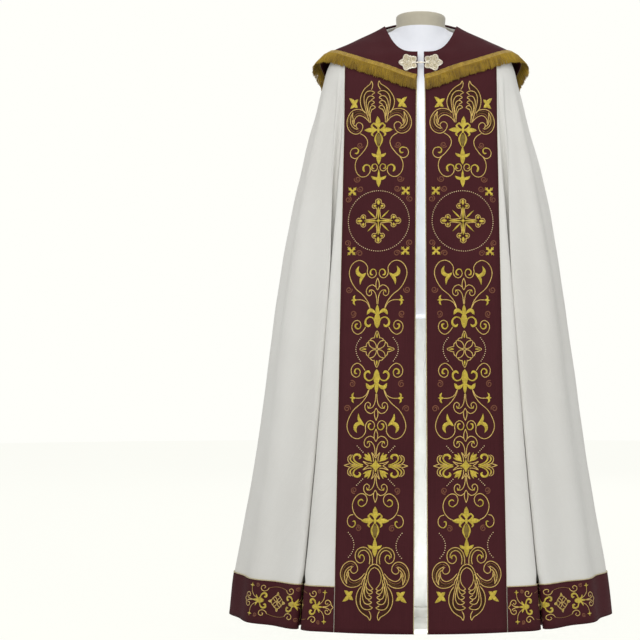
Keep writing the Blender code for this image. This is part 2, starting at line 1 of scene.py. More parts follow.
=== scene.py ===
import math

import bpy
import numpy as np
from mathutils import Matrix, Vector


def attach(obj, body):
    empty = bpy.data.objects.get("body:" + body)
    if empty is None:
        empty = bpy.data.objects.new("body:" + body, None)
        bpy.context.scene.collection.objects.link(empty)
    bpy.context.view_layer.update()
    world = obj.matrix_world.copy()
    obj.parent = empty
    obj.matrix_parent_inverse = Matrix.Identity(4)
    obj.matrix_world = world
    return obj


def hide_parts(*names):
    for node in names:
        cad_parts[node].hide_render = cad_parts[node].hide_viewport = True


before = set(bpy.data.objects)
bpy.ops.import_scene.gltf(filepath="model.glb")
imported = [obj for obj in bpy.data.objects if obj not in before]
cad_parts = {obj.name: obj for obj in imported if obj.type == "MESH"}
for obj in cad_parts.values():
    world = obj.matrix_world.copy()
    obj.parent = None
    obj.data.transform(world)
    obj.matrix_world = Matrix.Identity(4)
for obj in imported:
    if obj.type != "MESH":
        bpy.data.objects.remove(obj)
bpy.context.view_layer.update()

# A priest's cope in ivory and burgundy: its finished cloth, embroidery, fringe and clasp, round the frame.
# Sizes are in metres and embroidery is drawn in millimetres. The front faces -Y and the floor is Z = 0.
# The cloth hangs on a stack of rings, from the neckline down to the hem. A place on it is a height on that
# stack and an arc distance along the ring there, from the front opening round to the centre of the back.

MM = 0.001

# ---------------- sizes shared with the frame
CLOTH = 0.0016  # the body cloth's wall
ORPHREY_WALL = 0.0015
BAND_WALL = 0.0014
HOOD_WALL = 0.0020
LAYER_GAP = 0.0008  # air between two layers
SEAM_GAP = 0.0015  # between the hem band and the orphreys
EDGE_SHOWING = 0.0015  # how much of the body shows beside an orphrey, at the opening
FRINGE_HEADING = 0.010  # how high the fringe's braid is
FRINGE_LAP = 0.007  # how far the hood's cloth runs on behind the braid
FRINGE_LIFT = 0.0008  # air between the hood and the fringe
FRINGE_LENGTH = 0.026
FRINGE_SPLAY = 0.27  # how far the fringe hangs outwards, for each metre down
FRINGE_TIP_SPLAY = 0.75  # the same at the shoulder tips
FRINGE_TIP_POWER = 14
FRINGE_FOLLOW = 0.60  # how much the fringe follows the hood's own slope
CLASP_HEIGHT = 1.3555
CLASP_CENTRE_X = 0.0290
FORM_BOTTOM = 0.745
SIDE_WORDS = {-1: "left", 1: "right"}

RING_COLUMNS = (
    "z_front", "z_side", "z_back", "half_width", "y_front", "y_back", "squareness", "side_rise",
    "front_gap", "orphrey_x",
)
BODY_RINGS = {
    "neckline":    (1.379, 1.459, 1.481, 0.087, -0.105, 0.078, 2.00, 3.4, 0.0075, 0.070),
    "collar":      (1.356, 1.441, 1.464, 0.118, -0.114, 0.100, 2.00, 3.0, 0.0078, 0.104),
    "yoke":        (1.322, 1.4225, 1.430, 0.160, -0.124, 0.122, 2.05, 2.5, 0.0082, 0.148),
    "shoulder":    (1.289, 1.4035, 1.388, 0.203, -0.133, 0.138, 2.10, 2.2, 0.0088, 0.179),
    "cap":         (1.255, 1.362, 1.345, 0.2275, -0.141, 0.148, 2.15, 2.0, 0.0093, 0.182),
    "sleeve_head": (1.215, 1.309, 1.290, 0.2415, -0.150, 0.157, 2.20, 2.0, 0.0095, 0.182),
    "upper":       (1.160, 1.211, 1.200, 0.269, -0.163, 0.171, 2.20, 2.0, 0.0098, 0.182),
    "chest":       (1.080, 1.100, 1.095, 0.297, -0.180, 0.190, 2.20, 2.0, 0.0100, 0.183),
    "waist":       (0.940, 0.940, 0.940, 0.330, -0.210, 0.222, 2.20, 2.0, 0.0106, 0.184),
    "hip":         (0.717, 0.717, 0.717, 0.366, -0.255, 0.272, 2.18, 2.0, 0.0115, 0.186),
    "thigh":       (0.470, 0.470, 0.470, 0.399, -0.300, 0.322, 2.15, 2.0, 0.0127, 0.188),
    "knee":        (0.248, 0.248, 0.248, 0.434, -0.335, 0.368, 2.12, 2.0, 0.0138, 0.190),
    "band_top":    (0.127, 0.127, 0.127, 0.455, -0.353, 0.392, 2.10, 2.0, 0.0143, 0.191),
    "hem":         (0.025, 0.025, 0.025, 0.467, -0.366, 0.410, 2.10, 2.0, 0.0147, 0.192),
}
NECK_ROW = 0
BAND_ROW = 12
HEM_ROW = 13
ORPHREY_TOP_ROW = 1

# Folds of each side. Shares run from the orphrey's edge (0) to the centre of the back (1).
FOLD_COLUMNS = (
    "share_top", "share_hem", "start_z", "depth_left", "depth_right", "half_width", "pinch", "lean",
    "mouth",
)
DEEP_FOLDS = {
    "front":     (0.018, 0.080, 1.34, 0.068, 0.072, 0.031, 0.95, 0.62, 1.3),
    "side":      (0.470, 0.515, 1.02, 0.064, 0.058, 0.030, 0.62, 0.00, 1.0),
    "back_side": (0.560, 0.655, 0.84, 0.066, 0.062, 0.029, 0.62, -0.10, 1.0),
    "back":      (0.640, 0.835, 1.36, 0.074, 0.070, 0.031, 0.55, -0.32, 1.0),
}
SOFT_FOLDS = {
    "next_to_front": (0.120, 0.165, 1.18, 0.014, 0.012, 0.040, 0.0, 0.0, 1.0),
    "hand":          (0.240, 0.290, 1.08, 0.010, 0.014, 0.045, 0.0, 0.0, 1.0),
    "elbow":         (0.360, 0.425, 1.00, 0.016, 0.014, 0.042, 0.0, 0.0, 1.0),
    "shoulder_back": (0.600, 0.745, 1.00, 0.010, 0.013, 0.040, 0.0, 0.0, 1.0),
}
FOLDS = DEEP_FOLDS | SOFT_FOLDS
FOLD_TOP_Z = 1.30  # the shares of a fold move from share_top to share_hem below this height
PINCH_FULL = 0.5  # how far grown a fold is when its mouth is fully drawn together
BAND_PINCH = 0.11  # how much less it is drawn together where the band makes the cloth thicker
BAND_EASE = 0.03  # the height over which that changes
LIP_ROOM = 2.4  # the cloth between the orphrey and the first fold, in half widths of the fold's mouth
LIP_LEAST = 0.004  # and its least width
FOLD_GROWTH = 0.85  # power of a fold's depth over its height
FOLD_NARROWING = 0.40  # how much narrower a fold is where it starts
CREST_SHARE = 0.09  # how far the cloth beside a fold swells, as a share of its depth
CREST_PLACE = 1.9  # in half widths from the fold's centre
CREST_SPREAD = 0.55

# Rings of the hood, which covers both shoulders and stands off the body at their tips.
HOOD_RINGS = {
    "neckline":  (1.3845, 1.4650, 1.4870, 0.0885, -0.1095, 0.0820, 2.00, 3.4, 0.0075),
    "collar":    (1.3605, 1.4465, 1.4705, 0.1205, -0.1190, 0.1055, 2.00, 3.0, 0.0075),
    "yoke":      (1.3270, 1.4280, 1.4370, 0.1640, -0.1290, 0.1280, 2.05, 2.5, 0.0076),
    "shoulder":  (1.2940, 1.4055, 1.3950, 0.2130, -0.1385, 0.1450, 2.10, 2.2, 0.0078),
    "tip":       (1.2590, 1.3800, 1.3500, 0.2460, -0.1470, 0.1560, 2.15, 2.0, 0.0080),
    "arm":       (1.2200, 1.3430, 1.2950, 0.2425, -0.1570, 0.1690, 2.15, 2.0, 0.0080),
    "blade":     (1.1650, 1.2950, 1.2050, 0.2400, -0.1720, 0.1880, 2.20, 2.0, 0.0080),
    "back_edge": (1.0850, 1.2000, 1.1100, 0.2470, -0.1950, 0.2060, 2.20, 2.0, 0.0080),
}
# The hood's lower edge: the angle round each ring, from the front (0) by the side (90) to the back (180),
# and the row of the hood's rings where the edge crosses it.
HOOD_EDGE = {
    0: 2.13, 12: 1.90, 26: 1.77, 36: 1.90, 47: 2.24, 62: 2.69, 74: 2.97, 82: 3.18, 90: 3.62, 98: 4.08,
    106: 4.60, 112: 5.12, 116: 5.58, 121: 5.86, 128: 6.06, 137: 6.28, 151: 6.58, 165: 6.80, 180: 6.93,
}

# Rings of the dress form's torso, a few millimetres inside the cloth from the neckline to the shoulders.
FORM_RINGS = {
    "cap_top":   (1.4900, 1.4900, 1.4900, 0.0560, -0.0640, 0.0460, 2.20, 2.0),
    "cap_edge":  (1.4850, 1.4850, 1.4850, 0.0610, -0.0690, 0.0510, 2.20, 2.0),
    "neck":      (1.4350, 1.4660, 1.4750, 0.0605, -0.0690, 0.0540, 2.10, 2.0),
    "neck_foot": (1.4030, 1.4550, 1.4690, 0.0680, -0.0740, 0.0640, 2.00, 2.4),
    "neckline":  (1.3780, 1.4470, 1.4650, 0.0880, -0.0900, 0.0780, 2.00, 3.0),
    "collar":    (1.3520, 1.4350, 1.4570, 0.1160, -0.1070, 0.0950, 2.00, 3.0),
    "yoke":      (1.3180, 1.4165, 1.4230, 0.1580, -0.1170, 0.1160, 2.05, 2.5),
    "shoulder":  (1.2850, 1.3980, 1.3800, 0.1900, -0.1240, 0.1300, 2.10, 2.2),
    "point":     (1.2600, 1.3740, 1.3480, 0.2010, -0.1280, 0.1360, 2.15, 2.0),
    "armhole":   (1.2300, 1.3300, 1.3000, 0.2030, -0.1300, 0.1400, 2.20, 2.0),
    "bust":      (1.1800, 1.2000, 1.1900, 0.1860, -0.1290, 0.1380, 2.20, 2.0),
    "rib":       (1.1000, 1.1000, 1.1000, 0.1680, -0.1190, 0.1260, 2.20, 2.0),
    "waist":     (1.0100, 1.0100, 1.0100, 0.1510, -0.1080, 0.1090, 2.20, 2.0),
    "belly":     (0.9200, 0.9200, 0.9200, 0.1640, -0.1110, 0.1200, 2.20, 2.0),
    "hip":       (0.8300, 0.8300, 0.8300, 0.1800, -0.1170, 0.1380, 2.20, 2.0),
    "rim":       (0.7620, 0.7620, 0.7620, 0.1800, -0.1150, 0.1380, 2.20, 2.0),
    "rim_edge":  (FORM_BOTTOM, FORM_BOTTOM, FORM_BOTTOM, 0.1700, -0.1050, 0.1280, 2.20, 2.0),
}

# ---------------- curves and rings
def unit(vectors):
    return vectors / (np.linalg.norm(vectors, axis=-1)[..., None] + 1e-12)


def run_along(points, axis=0):
    """How far each point lies from the first one, along the line or the lines of points."""
    steps = np.linalg.norm(np.diff(points, axis=axis), axis=-1)
    start = np.zeros_like(np.take(steps, [0], axis=axis))
    return np.concatenate([start, np.cumsum(steps, axis=axis)], axis=axis)


def smooth(at, places, values):
    """Values at the given places, on one smooth curve through the known ones."""
    places, values = np.asarray(places, float), np.asarray(values, float)
    at = np.clip(np.asarray(at, float), places[0], places[-1])
    step = np.diff(places)
    slope = np.diff(values, axis=0) / (step if values.ndim == 1 else step[:, None])
    inner = (slope[:-1] + slope[1:]) / 2
    tangent = np.concatenate([slope[:1], inner, slope[-1:]])
    i = np.clip(np.searchsorted(places, at, side="right") - 1, 0, len(step) - 1)
    u = (at - places[i]) / step[i]
    h = step[i]
    if values.ndim > 1:
        u, h = u[..., None], h[..., None]
    rise = u * u * (3 - 2 * u)
    return (
        values[i] * (1 - rise)
        + values[i + 1] * rise
        + tangent[i] * h * u * (1 - u) ** 2
        - tangent[i + 1] * h * u * u * (1 - u)
    )


def ring_at(rings, row):
    """The sizes of the rings at one row or many, which may lie between two rings of the table."""
    table = np.array(list(rings.values()))
    sizes = smooth(row, np.arange(len(table)), table)
    return dict(zip(RING_COLUMNS, np.moveaxis(sizes, -1, 0)))


def ring_points(ring, angle):
    """Points of a ring, from the front (angle 0) by the right side to the back (pi) and on by the left."""
    power = 2 / ring["squareness"]
    across, along = np.abs(np.sin(angle)), np.cos(angle)
    front = along > 0
    depth = np.where(front, -ring["y_front"], ring["y_back"])
    end_z = np.where(front, ring["z_front"], ring["z_back"])
    return np.stack(
        [
            ring["half_width"] * np.sign(np.sin(angle)) * across**power,
            -np.sign(along) * depth * np.abs(along) ** power,
            end_z + (ring["z_side"] - end_z) * across ** ring["side_rise"],
        ],
        axis=-1,
    )


def angle_of_x(ring, x):
    return np.arcsin(np.minimum(1.0, x / ring["half_width"]) ** (ring["squareness"] / 2))


def step_between(low, high, value):
    """0 below the low value, 1 above the high one, and smooth between."""
    t = np.clip((value - low) / (high - low), 0, 1)
    return t * t * (3 - 2 * t)


# ---------------- the folded body cloth
ARC_SAMPLES = 721
PAST_BACK = 0.02  # radians that each side runs on past the back's centre, for folds that lean over it
TURN_STEP = 1e-4  # radians on both sides of a place, to find which way the surface faces

# Creases of the body cloth, finer than its folds: troughs, and ridges where the depth is negative. Shares
# run as the folds' do, at the height where a crease starts and at the one where it ends.
CREASE_COLUMNS = ("share_start", "share_end", "z_start", "z_end", "depth", "half_width")
LEFT_CREASES = (
    (0.016, 0.030, 1.38, 1.06, -0.0034, 0.0045),
    (0.034, 0.048, 1.38, 1.02, 0.0050, 0.0050),
    (0.056, 0.070, 1.38, 0.92, -0.0030, 0.0065),
    (0.080, 0.100, 1.37, 0.82, 0.0048, 0.0080),
    (0.112, 0.140, 1.36, 0.46, 0.0072, 0.0190),
    (0.176, 0.226, 1.34, 0.74, -0.0034, 0.0130),
    (0.205, 0.262, 1.33, 0.66, 0.0040, 0.0120),
    (0.250, 0.330, 1.30, 0.30, 0.0050, 0.0260),
    (0.290, 0.352, 1.26, 0.70, -0.0030, 0.0180),
    (0.330, 0.400, 1.22, 0.48, 0.0045, 0.0200),
    (0.400, 0.460, 1.28, 0.60, 0.0038, 0.0160),
    (0.455, 0.500, 1.25, 0.86, 0.0040, 0.0130),
    (0.520, 0.575, 1.28, 0.42, 0.0046, 0.0170),
    (0.575, 0.600, 1.24, 0.70, 0.0034, 0.0120),
    (0.690, 0.880, 1.16, 0.36, 0.0040, 0.0300),
    (0.780, 0.935, 1.12, 0.52, -0.0034, 0.0340),
    (0.880, 0.970, 1.10, 0.62, 0.0030, 0.0280),
)
RIGHT_CREASES = (
    (0.012, 0.028, 1.38, 1.10, -0.0036, 0.0045),
    (0.030, 0.044, 1.38, 1.00, 0.0052, 0.0050),
    (0.050, 0.066, 1.38, 1.04, -0.0030, 0.0060),
    (0.074, 0.096, 1.37, 0.78, 0.0046, 0.0085),
    (0.108, 0.136, 1.36, 0.50, 0.0070, 0.0200),
    (0.152, 0.200, 1.35, 0.70, -0.0034, 0.0150),
    (0.190, 0.270, 1.34, 0.74, 0.0042, 0.0130),
    (0.236, 0.318, 1.30, 0.24, 0.0052, 0.0280),
    (0.276, 0.372, 1.27, 0.58, 0.0036, 0.0170),
    (0.345, 0.386, 1.20, 0.66, -0.0028, 0.0200),
    (0.388, 0.452, 1.27, 0.52, 0.0044, 0.0180),
    (0.470, 0.508, 1.26, 0.80, 0.0036, 0.0120),
    (0.535, 0.588, 1.27, 0.50, 0.0042, 0.0150),
    (0.600, 0.622, 1.22, 0.76, 0.0030, 0.0110),
    (0.710, 0.896, 1.14, 0.40, 0.0036, 0.0320),
    (0.800, 0.925, 1.10, 0.30, 0.0042, 0.0360),
    (0.905, 0.975, 1.12, 0.70, -0.0026, 0.0260),
)
# A sharp line down the bottom of a deep fold: (height where it starts, depth, half width).
FOLD_LINES = {
    "front": (1.37, 0.0075, 0.0042),
    "side": (1.10, 0.0050, 0.0050),
    "back_side": (0.98, 0.0050, 0.0050),
    "back": (1.26, 0.0060, 0.0050),
}
CREASE_FADE = 0.10  # how far below its start a crease is full
CREASE_END_FADE = 0.28  # the same above its end
CREASE_SPREAD = 0.6  # how much wider a crease is at its end
FLAT_EDGE = (0.001, 0.010)  # beside the orphrey's edge, where the creases start
# The cloth's slight unevenness everywhere: its height, and two waves that beat against a slower one, in
# radians for each metre across and down.
RIPPLE = 0.0005
RIPPLE_WAVES = ((61, 13), (37, 23))
RIPPLE_SHIFT = 1.3
RIPPLE_BEAT = (7, 17)


class Level:
    """One level of the folded cloth: a row of rings, on the right (side 1) or the left (side -1)."""

    def __init__(self, row, side):
        self.row, self.side = row, side
        self.ring = ring_at(BODY_RINGS, row)
        start = angle_of_x(self.ring, self.ring["front_gap"])
        self.angles = np.linspace(start, math.pi + PAST_BACK, ARC_SAMPLES)
        self.arcs = run_along(ring_points(self.ring, self.angles))
        self.length = float(np.interp(math.pi, self.angles, self.arcs))
        edge_angle = angle_of_x(self.ring, self.ring["orphrey_x"])
        self.orphrey = float(np.interp(edge_angle, self.angles, self.arcs))
        self.hem_z = BODY_RINGS["hem"][0]
        self.z = float(self.ring["z_side"])
        self.folds = {name: self.fold_here(dict(zip(FOLD_COLUMNS, FOLDS[name]))) for name in FOLDS}

    def grown(self, start_z):
        return min(1.0, max(0.0, (start_z - self.z) / (start_z - self.hem_z)))

    def share_arc(self, share):
        return self.orphrey + share * (self.length - self.orphrey)

    def fold_here(self, fold):
        """(arc distance of the centre, depth, half width, pinch, lean, mouth) of a fold at this level."""
        share = fold["share_top"] + (fold["share_hem"] - fold["share_top"]) * self.grown(FOLD_TOP_Z)
        grown = self.grown(fold["start_z"]) ** FOLD_GROWTH
        depth = grown * fold["depth_right" if self.side > 0 else "depth_left"]
        width = fold["half_width"] * (1 - FOLD_NARROWING * (1 - grown))
        pinch = fold["pinch"] * step_between(0, PINCH_FULL, grown)
        if fold["mouth"] > 1:
            into_band = BODY_RINGS["band_top"][1] + BAND_EASE - self.z
            pinch -= BAND_PINCH * step_between(0, BAND_EASE, into_band)
        return self.share_arc(share), depth, width, pinch, fold["lean"], fold["mouth"]

    def creases(self, distance):
        """How far the creases and the cloth's unevenness push the surface in."""
        pushed = np.zeros_like(distance)
        for row in RIGHT_CREASES if self.side > 0 else LEFT_CREASES:
            crease = dict(zip(CREASE_COLUMNS, row))
            fallen = (crease["z_start"] - self.z) / (crease["z_start"] - crease["z_end"])
            share = crease["share_start"] + (crease["share_end"] - crease["share_start"]) * fallen
            shown = step_between(0, CREASE_FADE, crease["z_start"] - self.z) * step_between(
                0, CREASE_END_FADE, self.z - crease["z_end"] + CREASE_END_FADE / 2
            )
            half_width = crease["half_width"] * (1 + CREASE_SPREAD * max(0, fallen))
            t = (distance - self.share_arc(share)) / half_width
            pushed += crease["depth"] * shown * np.exp(-t * t)
        for name, (z_start, depth, half_width) in FOLD_LINES.items():
            shown = step_between(0, CREASE_FADE, z_start - self.z)
            t = (distance - self.folds[name][0]) / half_width
            pushed += depth * shown * np.exp(-t * t)
        (across, down), (next_across, next_down) = RIPPLE_WAVES
        wave = np.sin(distance * across + self.z * down * self.side)
        wave = wave + np.sin(distance * next_across - self.z * next_down + RIPPLE_SHIFT)
        wave *= np.sin(self.z * RIPPLE_BEAT[1] + distance * RIPPLE_BEAT[0] + self.side)
        return (pushed + RIPPLE * wave) * step_between(*FLAT_EDGE, distance - self.orphrey)

    def points(self, distance):
        """The cloth's middle surface at arc distances from the front edge."""
        distance = np.asarray(distance, float)
        moved = distance.copy()
        inward = self.creases(distance)
        for centre, depth, width, pinch, lean, mouth in self.folds.values():
            offset = distance - centre
            room = max(LIP_LEAST, centre - self.orphrey) / (LIP_ROOM * mouth)
            t = offset / np.where(offset < 0, min(width, room), width)
            valley = np.exp(-t * t)
            crest = np.exp(-(((np.abs(t) - CREST_PLACE) / CREST_SPREAD) ** 2))
            drawn = (t / mouth) ** 2
            moved += depth * lean * valley - offset * pinch * drawn * np.exp(1 - drawn)
            inward += depth * (valley - CREST_SHARE * crest)
        angle = np.interp(moved, self.arcs, self.angles)
        base = ring_points(self.ring, angle)
        across = ring_points(self.ring, angle + TURN_STEP) - ring_points(self.ring, angle - TURN_STEP)
        outward = unit(np.stack([across[:, 1], -across[:, 0], np.zeros(len(across))], axis=-1))
        made = base - outward * inward[:, None]
        made[:, 0] *= self.side
        return made


# ---------------- rows and columns of the fine cloth
ROW_STEP = 0.013  # height between two rows of the fine mesh
ORPHREY_COLUMNS = 14
PANEL_COLUMNS = (24, 48, 22, 24, 30)  # from the orphrey by each deep fold to the centre of the back
EVEN_SHARE, CROWDED_SHARE = 0.45, 0.55  # how far the columns crowd towards the folds


def fine_rows(first, last, step=ROW_STEP):
    """Rows from one ring of the table to another, about evenly spaced in height."""
    heights = [ring[1] for ring in BODY_RINGS.values()]
    rows = []
    for row in range(first, last):
        count = max(2, round((heights[row] - heights[row + 1]) / step))
        rows += [row + i / count for i in range(count)]
    return [*rows, last]


def panel_places(level):
    """Arc distances of the columns from the orphrey's edge to the centre of the back."""
    knots = [level.orphrey, *(level.folds[name][0] for name in DEEP_FOLDS), level.length]
    places = []
    for low, high, count in zip(knots, knots[1:], PANEL_COLUMNS):
        even = np.linspace(0, 1, count + 1)[:-1]
        crowded = EVEN_SHARE * even + CROWDED_SHARE * (1 - np.cos(math.pi * even)) / 2
        places.append(low + (high - low) * crowded)
    return np.concatenate([*places, [level.length]])


def body_places(level):
    return np.concatenate([np.linspace(0, level.orphrey, ORPHREY_COLUMNS + 1)[:-1], panel_places(level)])


def band_places(level):
    places = panel_places(level)
    places[0] += SEAM_GAP
    return places


def orphrey_places(level):
    return np.linspace(EDGE_SHOWING, level.orphrey, ORPHREY_COLUMNS + 1)


class Cloth:
    """A grid of points with their outward normals, and how far each lies across and down, in metres."""

    def __init__(self, points, across):
        self.points = points
        self.across = across
        self.down = run_along(points)
        self.normals = unit(np.cross(np.gradient(points, axis=1), np.gradient(points, axis=0)))

    def lifted(self, lift):
        return self.points + self.normals * lift


def half_cloth(rows, side, places):
    """One side's Cloth. Its columns run from front to back on the left, and the other way on the right."""
    points, across = [], []
    for row in rows:
        level = Level(row, side)
        distance = places(level)
        points.append(level.points(distance))
        across.append(distance * side)
    points, across = np.array(points), np.array(across)
    if side > 0:
        points, across = points[:, ::-1], across[:, ::-1]
    return Cloth(points, across)


def whole_cloth(rows, places):
    """The Cloth from the left front edge, round the back, to the right front edge."""
    left, right = half_cloth(rows, -1, places), half_cloth(rows, 1, places)
    length = -left.across[:, -1:]
    across = np.concatenate([left.across + length, (right.across - length)[:, 1:]], axis=1)
    middle = (left.points[:, -1:] + right.points[:, :1]) / 2
    points = np.concatenate([left.points[:, :-1], middle, right.points[:, 1:]], axis=1)
    return Cloth(points, across)


# ---------------- meshes
def as_list(faces):
    return faces if isinstance(faces, list) else faces.tolist()


def piece(name, mesh, finish, replaced=()):
    """A new object on the body "root", with its finish and the frame nodes it stands for."""
    thing = bpy.data.objects.new(name, mesh)
    bpy.context.scene.collection.objects.link(thing)
    mesh.materials.append(finish)
    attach(thing, "root")
    if replaced:
        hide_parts(*replaced)
    return thing


def mesh_from(name, points, faces, uvs=None):
    """A smooth mesh. uvs, where given, holds one pair for each point."""
    mesh = bpy.data.meshes.new(name)
    mesh.from_pydata(np.asarray(points).tolist(), [], as_list(faces))
    if uvs is not None:
        layer = mesh.uv_layers.new(name="cut")
        corners = np.empty(len(mesh.loops), np.int32)
        mesh.loops.foreach_get("vertex_index", corners)
        layer.data.foreach_set("uv", np.asarray(uvs, np.float32)[corners].ravel())
    mesh.shade_smooth()
    return mesh


def grid_faces(height, width, closed=False):
    """Quads of a grid of points, facing out where its columns run as the cloth's do."""
    across = width if closed else width - 1
    r, c = np.meshgrid(np.arange(height - 1), np.arange(across), indexing="ij")
    a, b = r * width + c, r * width + (c + 1) % width
    return np.stack([a, b, b + width, a + width], axis=-1).reshape(-1, 4)


def cloth_piece(name, cloth, lift, wall, finish, replaced=()):
    """A sheet of cloth a wall thick, lifted off the grid it follows."""
    height, width = cloth.down.shape
    uvs = np.stack([cloth.across, cloth.down], axis=-1).reshape(-1, 2)
    points = cloth.lifted(lift).reshape(-1, 3)
    thing = piece(name, mesh_from(name, points, grid_faces(height, width), uvs), finish, replaced)
    thickness = thing.modifiers.new("wall", "SOLIDIFY")
    thickness.thickness = wall
    thickness.offset = 0
    thickness.use_rim = True
    return thing


def tube_points(path, normals, radii, sides):
    """Rings of points round a path. normals steer the first side of each ring."""
    along = unit(np.gradient(path, axis=0))
    beside = unit(np.cross(along, normals))
    above = np.cross(beside, along)
    turns = 2 * math.pi * np.arange(sides) / sides
    radii = np.broadcast_to(radii, (len(path),))
    spokes = above[:, None] * np.cos(turns)[None, :, None] + beside[:, None] * np.sin(turns)[None, :, None]
    return path[:, None] + spokes * radii[:, None, None]


def capped_faces(rows, sides):
    """Faces of a stack of rings, closed at its last ring."""
    return [*grid_faces(rows, sides, closed=True).tolist(), list(range((rows - 1) * sides, rows * sides))]


class Heap:
    """Many small pieces gathered into one mesh."""

    def __init__(self):
        self.points, self.faces, self.uvs, self.count = [], [], [], 0

    def add(self, points, faces, uvs):
        self.points.append(points.reshape(-1, 3))
        self.faces += [[corner + self.count for corner in face] for face in as_list(faces)]
        self.uvs.append(uvs.reshape(-1, 2))
        self.count += len(self.points[-1])

    def tube(self, path, normals, radii, sides=5, closed=False):
        """A tube with flat ends, or a closed ring. Its UVs run along it in metres and once round it."""
        rings = tube_points(path, normals, radii, sides)
        uvs = np.stack(np.meshgrid(run_along(path), np.arange(sides) / sides, indexing="ij"), axis=-1)
        faces = grid_faces(len(rings), sides, closed=True)[:, ::-1].tolist()
        last = (len(rings) - 1) * sides
        if closed:
            faces += [[last + s, last + (s + 1) % sides, (s + 1) % sides, s] for s in range(sides)]
        else:
            faces += [list(range(sides)), list(range(last + sides - 1, last - 1, -1))]
        self.add(rings, faces, uvs)

    def mesh(self, name):
        return mesh_from(name, np.concatenate(self.points), self.faces, np.concatenate(self.uvs))


# ---------------- finishes
class Graph:
    """A node tree that is built one node at a time, each with its inputs by name."""

    def __init__(self, tree):
        self.tree = tree

    def add(self, kind, **inputs):
        """inputs that start with a small letter are the node's own settings, and the others its sockets."""
        node = self.tree.nodes.new(kind)
        for name, value in inputs.items():
            if name[0].islower():
                setattr(node, name, value)
        for name, value in inputs.items():
            if not name[0].islower():
                self.feed(node.inputs[name.replace("_", " ")], value)
        return node

    def place(self):
        return self.add("ShaderNodeTexCoord").outputs["Object"]

    def cut(self):
        """The place on the cloth's cut, or along and round a thread, in metres."""
        return self.add("ShaderNodeUVMap").outputs[0]

    def parts(self, vector):
        return self.add("ShaderNodeSeparateXYZ", Vector=vector).outputs

    def feed(self, socket, value):
        if hasattr(value, "is_output"):
            self.tree.links.new(value, socket)
        else:
            socket.default_value = value

    def calc(self, operation, *values):
        node = self.tree.nodes.new("ShaderNodeMath")
        node.operation = operation
        for socket, value in zip(node.inputs, values):
            self.feed(socket, value)
        return node.outputs[0]

    def mix(self, factor, first, second):
        node = self.tree.nodes.new("ShaderNodeMix")
        node.data_type = "RGBA"
        self.feed(node.inputs[0], factor)
        self.feed(node.inputs[6], first)
        self.feed(node.inputs[7], second)
        return node.outputs[2]

    def fade(self, value, low, high, to_low=0.0, to_high=1.0):
        """A value brought from low..high to to_low..to_high, and held there outside."""
        node = self.add("ShaderNodeMapRange", Value=value, From_Min=low, From_Max=high)
        node.inputs["To Min"].default_value = to_low
        node.inputs["To Max"].default_value = to_high
        return node.outputs[0]

    def noise(self, vector, scale, detail=3.0, roughness=0.55):
        sizes = {"Scale": scale, "Detail": detail, "Roughness": roughness}
        return self.add("ShaderNodeTexNoise", Vector=vector, **sizes).outputs["Fac"]


def screen(red, green, blue):
    """A colour as seen on a screen, from 0 to 255, in the linear values that a shader takes."""
    shares = (red / 255, green / 255, blue / 255)
    return (*(c / 12.92 if c <= 0.04045 else ((c + 0.055) / 1.055) ** 2.4 for c in shares), 1.0)


def new_group(name, numbers, outputs):
    """A shader node group with number inputs (name: usual value) and outputs (name: kind)."""
    group = bpy.data.node_groups.new(name, "ShaderNodeTree")
    for label, value in numbers.items():
        socket = group.interface.new_socket(name=label, in_out="INPUT", socket_type="NodeSocketFloat")
        socket.default_value = value
    for label, kind in outputs.items():
        group.interface.new_socket(name=label, in_out="OUTPUT", socket_type=kind)
    graph = Graph(group)
    return graph, graph.add("NodeGroupInput").outputs, graph.add("NodeGroupOutput").inputs


WEFT_HEIGHT = 0.8  # the threads that run across lie lower than those that run down
SLUBS_DOWN = (900.0, 14.0, 1.0)  # how close the slubs lie across and down, in the threads that run down
SLUBS_ACROSS = (16.0, 700.0, 1.0)
SLUBS_ACROSS_SHARE = 0.6


def make_weave_group():
    """Threads over and under each other, from the cut's own metres, with slubs in them."""
    graph, given, out = new_group(
        "weave",
        {"Threads per metre": 1400.0, "Diagonal": 0.0, "Slub": 0.5},
        {"Height": "NodeSocketFloat", "Slub": "NodeSocketFloat"},
    )
    cut = graph.cut()
    parts = graph.parts(cut)
    turn = graph.calc("MULTIPLY", given["Threads per metre"], math.pi)
    across = graph.calc("MULTIPLY", parts["X"], turn)
    down = graph.calc("MULTIPLY", parts["Y"], turn)
    lean = graph.calc("ADD", across, graph.calc("MULTIPLY", down, given["Diagonal"]))
    warp = graph.calc("ABSOLUTE", graph.calc("SINE", lean))
    weft = graph.calc("ABSOLUTE", graph.calc("SINE", down))
    threads = graph.calc("MAXIMUM", warp, graph.calc("MULTIPLY", weft, WEFT_HEIGHT))
    slubs_down, slubs_across = (
        graph.noise(graph.add("ShaderNodeMapping", Vector=cut, Scale=close).outputs[0], 1.0, 2.0)
        for close in (SLUBS_DOWN, SLUBS_ACROSS)
    )
    slubs = graph.calc("ADD", slubs_down, graph.calc("MULTIPLY", slubs_across, SLUBS_ACROSS_SHARE))
    slub = graph.fade(slubs, 0.55, 1.05)
    height = graph.calc("ADD", threads, graph.calc("MULTIPLY", slub, given["Slub"]))
    graph.feed(out["Height"], height)
    graph.feed(out["Slub"], slub)
    return graph.tree


